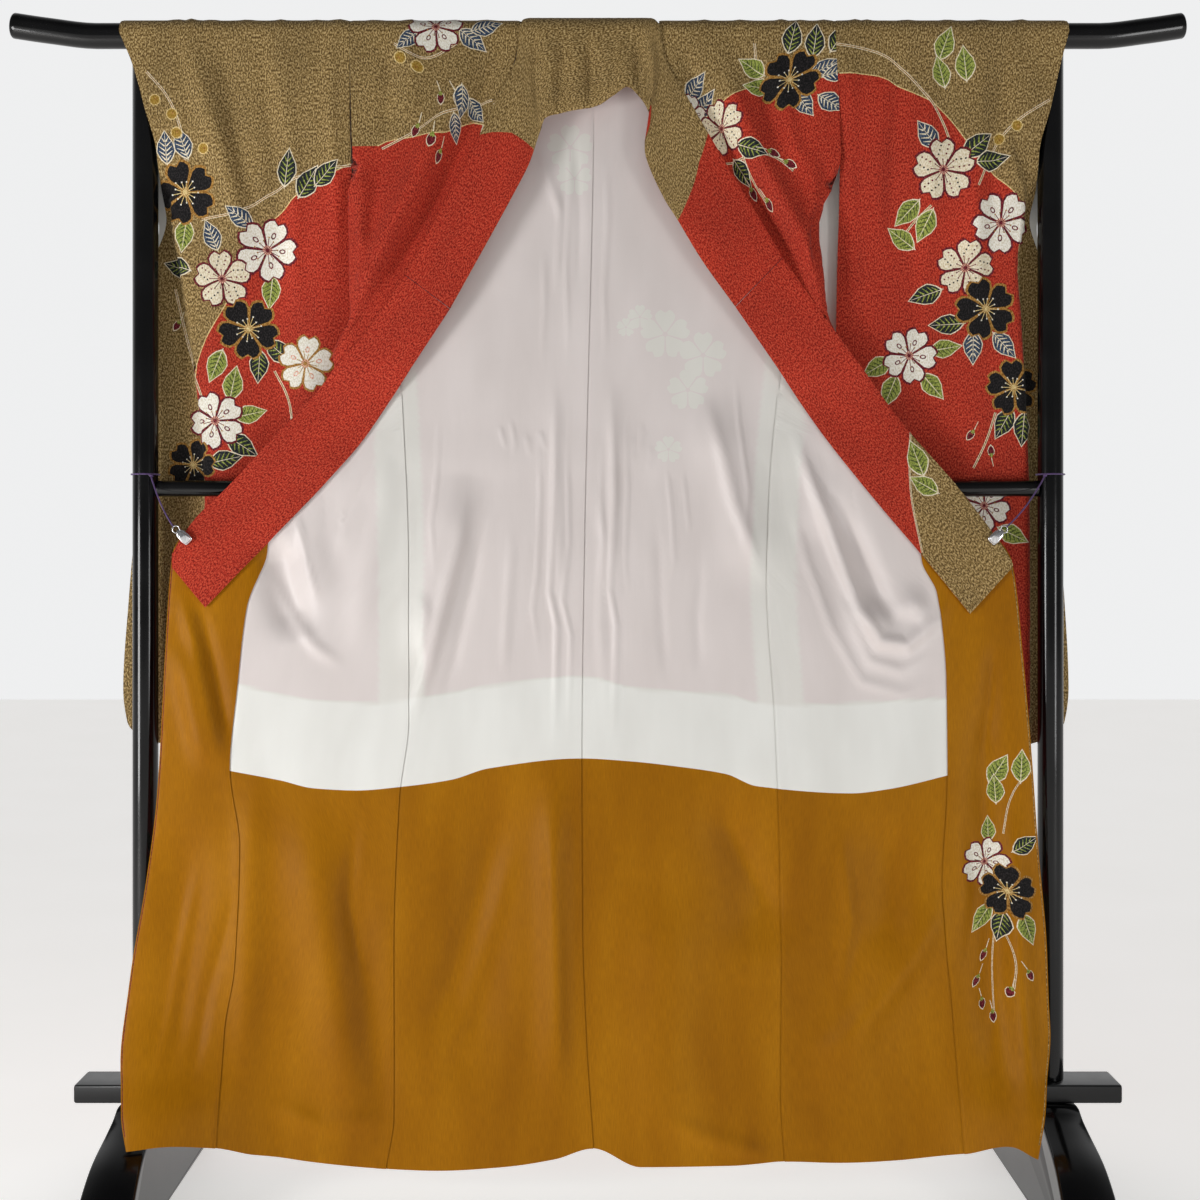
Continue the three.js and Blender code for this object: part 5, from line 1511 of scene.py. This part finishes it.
# ---------------------------------------------------------------- stand, clips and ties
def loft(name, rings, paint, nodes):
    """A closed form through rings of points, all of one count, with flat ends."""
    rings = np.array(rings, float)
    count, around = rings.shape[:2]
    faces = [tuple(range(around))[::-1], tuple(range((count - 1) * around, count * around))]
    for k in range(count - 1):
        for i in range(around):
            j = (i + 1) % around
            faces.append((k * around + i, k * around + j, (k + 1) * around + j, (k + 1) * around + i))
    mesh = bpy.data.meshes.new(name)
    mesh.from_pydata((rings.reshape(-1, 3) * MM).tolist(), [], faces)
    mesh.materials.append(paint)
    mesh.polygons.foreach_set("use_smooth", np.array([len(face) == 4 for face in faces]))
    bm = bmesh.new()
    bm.from_mesh(mesh)
    bmesh.ops.recalc_face_normals(bm, faces=bm.faces)
    bm.to_mesh(mesh)
    bm.free()
    piece = put(name, mesh)
    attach(piece, "root")
    if nodes:
        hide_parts(*nodes)


def tube(path, radii, around=48, strands=0, lay=7.0):
    """Rings round a path. A twisted cord has strands, each once round in a length of lay."""
    path = np.array(path, float)
    along = np.gradient(path, axis=0)
    along /= np.linalg.norm(along, axis=1, keepdims=True)
    place = np.concatenate([[0], np.cumsum(np.linalg.norm(np.diff(path, axis=0), axis=1))])
    helper = np.array([0, 0, 1.0]) if abs(along[0][2]) < 0.9 else np.array([1.0, 0, 0])
    across = np.cross(along[0], helper)
    rings = []
    angles = np.arange(around) * 2 * math.pi / around
    for point, forward, radius, s in zip(path, along, np.broadcast_to(radii, len(path)), place):
        across = across - forward * (across @ forward)
        across /= np.linalg.norm(across)
        up = np.cross(forward, across)
        wave = 1 + 0.2 * np.abs(np.cos(strands * angles / 2 - math.pi * strands * s / lay)) if strands else 1
        rings.append(point + (np.cos(angles) * radius * wave)[:, None] * across
                     + (np.sin(angles) * radius * wave)[:, None] * up)
    return rings


def rounded(radius, length, edge=2.0):
    """Places along a straight bar and its radius there, with rounded ends."""
    turn = np.radians(np.linspace(0, 90, 6))
    start = np.stack([edge * (1 - np.cos(turn)), radius - edge + edge * np.sin(turn)], 1)
    end = np.stack([length - start[::-1, 0], start[::-1, 1]], 1)
    return np.concatenate([start, end]).T


def rod_piece():
    rise = [(0, 0), (ROD_BEND_X, 0), (ROD_MID_BEND_X, ROD_RISE / 2), (ROD_HALF, ROD_RISE)]
    ends = ROD_HALF - np.array([0, 0.4, 1.2, 2.4])
    x = np.concatenate([-ends, np.linspace(-ROD_HALF + 8, ROD_HALF - 8, 120), ends[::-1]])
    radii = np.interp(np.abs(x), ends[::-1], ROD_R - np.array([0, 0.7, 1.4, 2.4]))
    path = stack(x, 0, ROD_Z + column(rise, np.abs(x)))
    loft("rod_lacquer", tube(path, radii), GLOSS, ["rod"])


def bars():
    low, high = BEAM_HIGH + SEAM, ROD_Z - ROD_R - SEAM
    for node, side in (("post_left", -1), ("post_right", 1)):
        place, radii = rounded(POST_R, high - low, 1.2)
        loft(f"{node}_lacquer", tube(stack(side * POST_X, 0, low + place), radii), GLOSS, [node])
    half = POST_X - POST_R - SEAM
    place, radii = rounded(RAIL_R, 2 * half, 1.0)
    loft("mid_rail_lacquer", tube(stack(place - half, 0, RAIL_Z), radii, 40), GLOSS, ["mid_rail"])


def rounded_box(wide, high, corner, steps=5):
    """A rectangle about the origin with round corners."""
    loop = []
    for k, (x, y) in enumerate(((1, 1), (-1, 1), (-1, -1), (1, -1))):
        for angle in np.radians(np.linspace(90 * k, 90 * k + 90, steps)):
            loop.append((x * (wide / 2 - corner) + corner * math.cos(angle),
                         y * (high / 2 - corner) + corner * math.sin(angle)))
    return np.array(loop)


def beam_piece():
    rings = []
    middle = (BEAM_LOW + BEAM_HIGH) / 2
    for x, inset in ((-BEAM_HALF, 3), (-BEAM_HALF + 0.9, 1), (-BEAM_HALF + 3, 0),
                     (BEAM_HALF - 3, 0), (BEAM_HALF - 0.9, 1), (BEAM_HALF, 3)):
        loop = rounded_box(BEAM_DEPTH - 2 * inset, BEAM_HIGH - BEAM_LOW - 2 * inset, 3)
        rings.append(stack(x, loop[:, 0], middle + loop[:, 1]))
    loft("beam_lacquer", rings, SATIN_BLACK, ["beam"])


# Half of the foot's upper outline: distance from the middle, height.
FOOT_TOP = [(0, BEAM_LOW - SEAM), (40, BEAM_LOW - SEAM), (60, 129), (84, 119), (140, 97), (180, 68),
            (205, 38), (218, 14), (FOOT_HALF, 0)]
FOOT_EDGE = [(1, 5), (0.965, 2), (0.9, 0)]     # share of the half width, inset there


def foot_outline():
    y = FOOT_HALF * np.sin(np.radians(np.linspace(-90, 90, 91)))
    top = np.stack([y, column(FOOT_TOP, np.abs(y))], 1)
    angle = np.radians(np.linspace(0, 180, 41))
    arch = np.stack([FOOT_ARCH_HALF * np.cos(angle), FOOT_ARCH * np.sin(angle)], 1)
    return np.concatenate([top, arch])


def inset_loop(loop, distance):
    ahead = np.roll(loop, -1, 0) - np.roll(loop, 1, 0)
    ahead /= np.maximum(np.linalg.norm(ahead, axis=1, keepdims=True), 1e-9)
    moved = loop + np.stack([ahead[:, 1], -ahead[:, 0]], 1) * distance
    return np.stack([moved[:, 0], np.maximum(moved[:, 1], 0)], 1)


def feet():
    outline = foot_outline()
    for node, side in (("foot_left", -1), ("foot_right", 1)):
        rings = []
        sections = [(-share, inset) for share, inset in FOOT_EDGE]
        sections += [(share, inset) for share, inset in FOOT_EDGE[::-1]]
        for share, inset in sections:
            loop = inset_loop(outline, inset)
            half = lerp(FOOT_WIDE_TOP, FOOT_WIDE_TOE, np.abs(loop[:, 0]) / FOOT_HALF) / 2
            rings.append(stack(side * POST_X + share * half, loop[:, 0], loop[:, 1]))
        loft(f"{node}_lacquer", rings, GLOSS, [node])


CLIPS = [(-1, "left", -583), (1, "right", 561)]
CLIP_Z = 941
CLIP_WIDE, CLIP_DEEP, CLIP_HIGH = 24, 9, 15
# Bars of a clip: place along it, width, depth, depth of its middle.
JAW = [(-12, 9, 2.6, -3), (-11, 13, 3.4, -2.8), (-4, 15, 4.0, -2.4), (6, 13, 4.0, -2.4), (10, 8, 3.4, -2.4),
       (12, 5, 2.4, -2.4)]
LEVER = [(-11, 7, 2.0, -0.2), (-9, 11, 2.6, 0.6), (-1, 11, 3.2, 2.2), (3, 8, 3.0, 2.6), (9, 6, 2.4, 0.6),
         (11, 4, 2.0, -0.6)]
CORNER_SHARE = 0.32     # of a bar's smaller side
CORD_ON_JAW = 5.7
RING_R, RING_WIRE_R, RING_OUT = 5, 1.0, 6.0
TIE_R = 1.1
CORD_R = TIE_R * 0.88       # its two strands bulge out to TIE_R
TIE_Z = 1030
TIE_SAG = (4, 6)
LOOP_R = POST_R + SEAM + TIE_R + 0.15
KNOT = (0.6, 0.8, 1.8)      # the knot's middle: shares of LOOP_R across and along, and how far under TIE_Z
KNOT_R, KNOT_HALF, KNOT_TURN, KNOT_STEPS = 2.0, 1.6, 620, 60
KNOT_LEAN = (0.55, 0.15, 0.8)
BOW = 0.5


def clip_y(x):
    reach = np.array([-1, 0, 1]) * (CLIP_WIDE + CLIP_HIGH) / 2 * math.sqrt(0.5)
    under = collar_end_y(x + reach[:, None], CLIP_Z + reach[None])
    return under.min() - COLLAR_CLOTH / 2 - SEAM + BOW


def clip_and_tie(side, name, x):
    middle = np.array([x, clip_y(x) - CLIP_DEEP / 2, CLIP_Z])
    angle = math.radians(45)
    along = np.array([side * math.cos(angle), 0, math.sin(angle)])
    across = np.array([-side * math.sin(angle), 0, math.cos(angle)])
    front = np.array([0, -1.0, 0])

    def slab(label, sections, nodes):
        """A bar along the clip."""
        rings = []
        for place, wide, deep, rise in sections:
            loop = rounded_box(wide, deep, min(wide, deep) * CORNER_SHARE)
            rings.append(middle + along * place + loop[:, :1] * across + (loop[:, 1:] + rise) * front)
        loft(f"clip_{name}_{label}", rings, CHROME, nodes)

    # The lower jaw, the upper jaw over it, and the ring on the tail.
    slab("jaw", JAW, [f"clip_{name}"])
    slab("lever", LEVER, [])
    turn = np.radians(np.arange(0, 361, 10))
    ring_middle = middle + along * (CORD_ON_JAW * math.sqrt(2) + RING_OUT)
    path = ring_middle + (np.cos(turn)[:, None] * along + np.sin(turn)[:, None] * across) * RING_R
    loft(f"clip_{name}_ring", tube(path, RING_WIRE_R, 12), CHROME, [])
    # The cord runs from the ring up to its loop round the post.
    start = ring_middle + along * (RING_R - 0.8)
    end = np.array([side * (POST_X - LOOP_R * KNOT[0]), -LOOP_R * KNOT[1], TIE_Z - KNOT[2]])
    t = np.linspace(0, 1, 130)[:, None]
    sag = 4 * t * (1 - t) * np.array([0, -TIE_SAG[0], -TIE_SAG[1]])
    rings = tube(lerp(start, end, t) + sag, CORD_R, 10, 2)
    loft(f"tie_{name}_cord", rings, PURPLE, [f"tie_{name}"])
    turn = np.radians(np.linspace(0, 360, 150))
    path = stack(side * POST_X + LOOP_R * np.cos(turn), LOOP_R * np.sin(turn), TIE_Z)
    loft(f"tie_loop_{name}_cord", tube(path, CORD_R, 10, 2), PURPLE, [f"tie_loop_{name}"])
    turn = np.radians(np.linspace(0, KNOT_TURN, KNOT_STEPS))
    lean = np.array(KNOT_LEAN) * (side, 1, 1)
    path = end + stack(KNOT_R * np.cos(turn), KNOT_R * np.sin(turn), 0)
    path = path + np.linspace(-KNOT_HALF, KNOT_HALF, KNOT_STEPS)[:, None] * lean
    loft(f"tie_{name}_knot", tube(path, TIE_R * 0.8, 8), PURPLE, [])


rod_piece()
bars()
beam_piece()
feet()
for clip_side, clip_name, clip_x in CLIPS:
    clip_and_tie(clip_side, clip_name, clip_x)

# ---------------------------------------------------------------- floor, light and camera
FLOOR_HALF = 8
floor_mesh = bpy.data.meshes.new("floor")
floor_mesh.from_pydata([(FLOOR_HALF * a, FLOOR_HALF * b, 0) for a, b in ((-1, -1), (1, -1), (1, 1), (-1, 1))],
                       [], [(0, 1, 2, 3)])
floor_mesh.materials.append(FLOOR)
put("floor", floor_mesh)

bpy.context.scene.view_settings.view_transform = "Standard"
world = bpy.data.worlds.new("studio")
world.use_nodes = True
background = world.node_tree.nodes["Background"]
bpy.context.scene.world = world
# Axis, from there to there, strength at both.
WALLS = [("Y", -0.25, 0.55, 0.2, 0.87), ("Z", 0.4, 0.95, 1.0, 0.4)]


def studio_walls():
    """A bright wall behind the kimono, dim ones in front of it, and a dim ceiling."""
    tree = world.node_tree
    parts = tree.nodes.new("ShaderNodeSeparateXYZ")
    tree.links.new(tree.nodes.new("ShaderNodeTexCoord").outputs["Generated"], parts.inputs[0])
    shades = []
    for axis, low, high, first, last in WALLS:
        spread = tree.nodes.new("ShaderNodeMapRange")
        spread.interpolation_type = "SMOOTHSTEP"
        for key, value in (("From Min", low), ("From Max", high), ("To Min", first), ("To Max", last)):
            spread.inputs[key].default_value = value
        tree.links.new(parts.outputs[axis], spread.inputs["Value"])
        shades.append(spread.outputs[0])
    product = tree.nodes.new("ShaderNodeMath")
    product.operation = "MULTIPLY"
    tree.links.new(shades[0], product.inputs[0])
    tree.links.new(shades[1], product.inputs[1])
    tree.links.new(product.outputs[0], background.inputs["Strength"])
    background.inputs["Color"].default_value = (0.99, 0.995, 1, 1)


def area_light(name, place, aim, size, power):
    data = bpy.data.lights.new(name, "AREA")
    data.shape = "RECTANGLE"
    data.size, data.size_y = size
    data.energy = power
    light = put(name, data)
    light.location = place
    light.rotation_euler = (Vector(aim) - Vector(place)).to_track_quat("-Z", "Y").to_euler()


studio_walls()
area_light("softbox_left", (-2.1, -1.5, 0.6), (-0.1, 0, 0.55), (0.6, 0.9), 29)
area_light("softbox_right", (1.9, -2.1, 0.6), (0.1, 0, 0.6), (0.5, 0.8), 11)

CAMERA_AT = (0, -2.3, 0.912)    # level with the photo's middle line
camera_data = bpy.data.cameras.new("camera")
camera_data.sensor_width = 36
camera_data.lens = 48.25
camera_data.shift_x, camera_data.shift_y = 0.0017, -0.0358
camera = put("camera", camera_data)
camera.location = CAMERA_AT
camera.rotation_euler = (math.radians(90), 0, 0)
bpy.context.scene.camera = camera
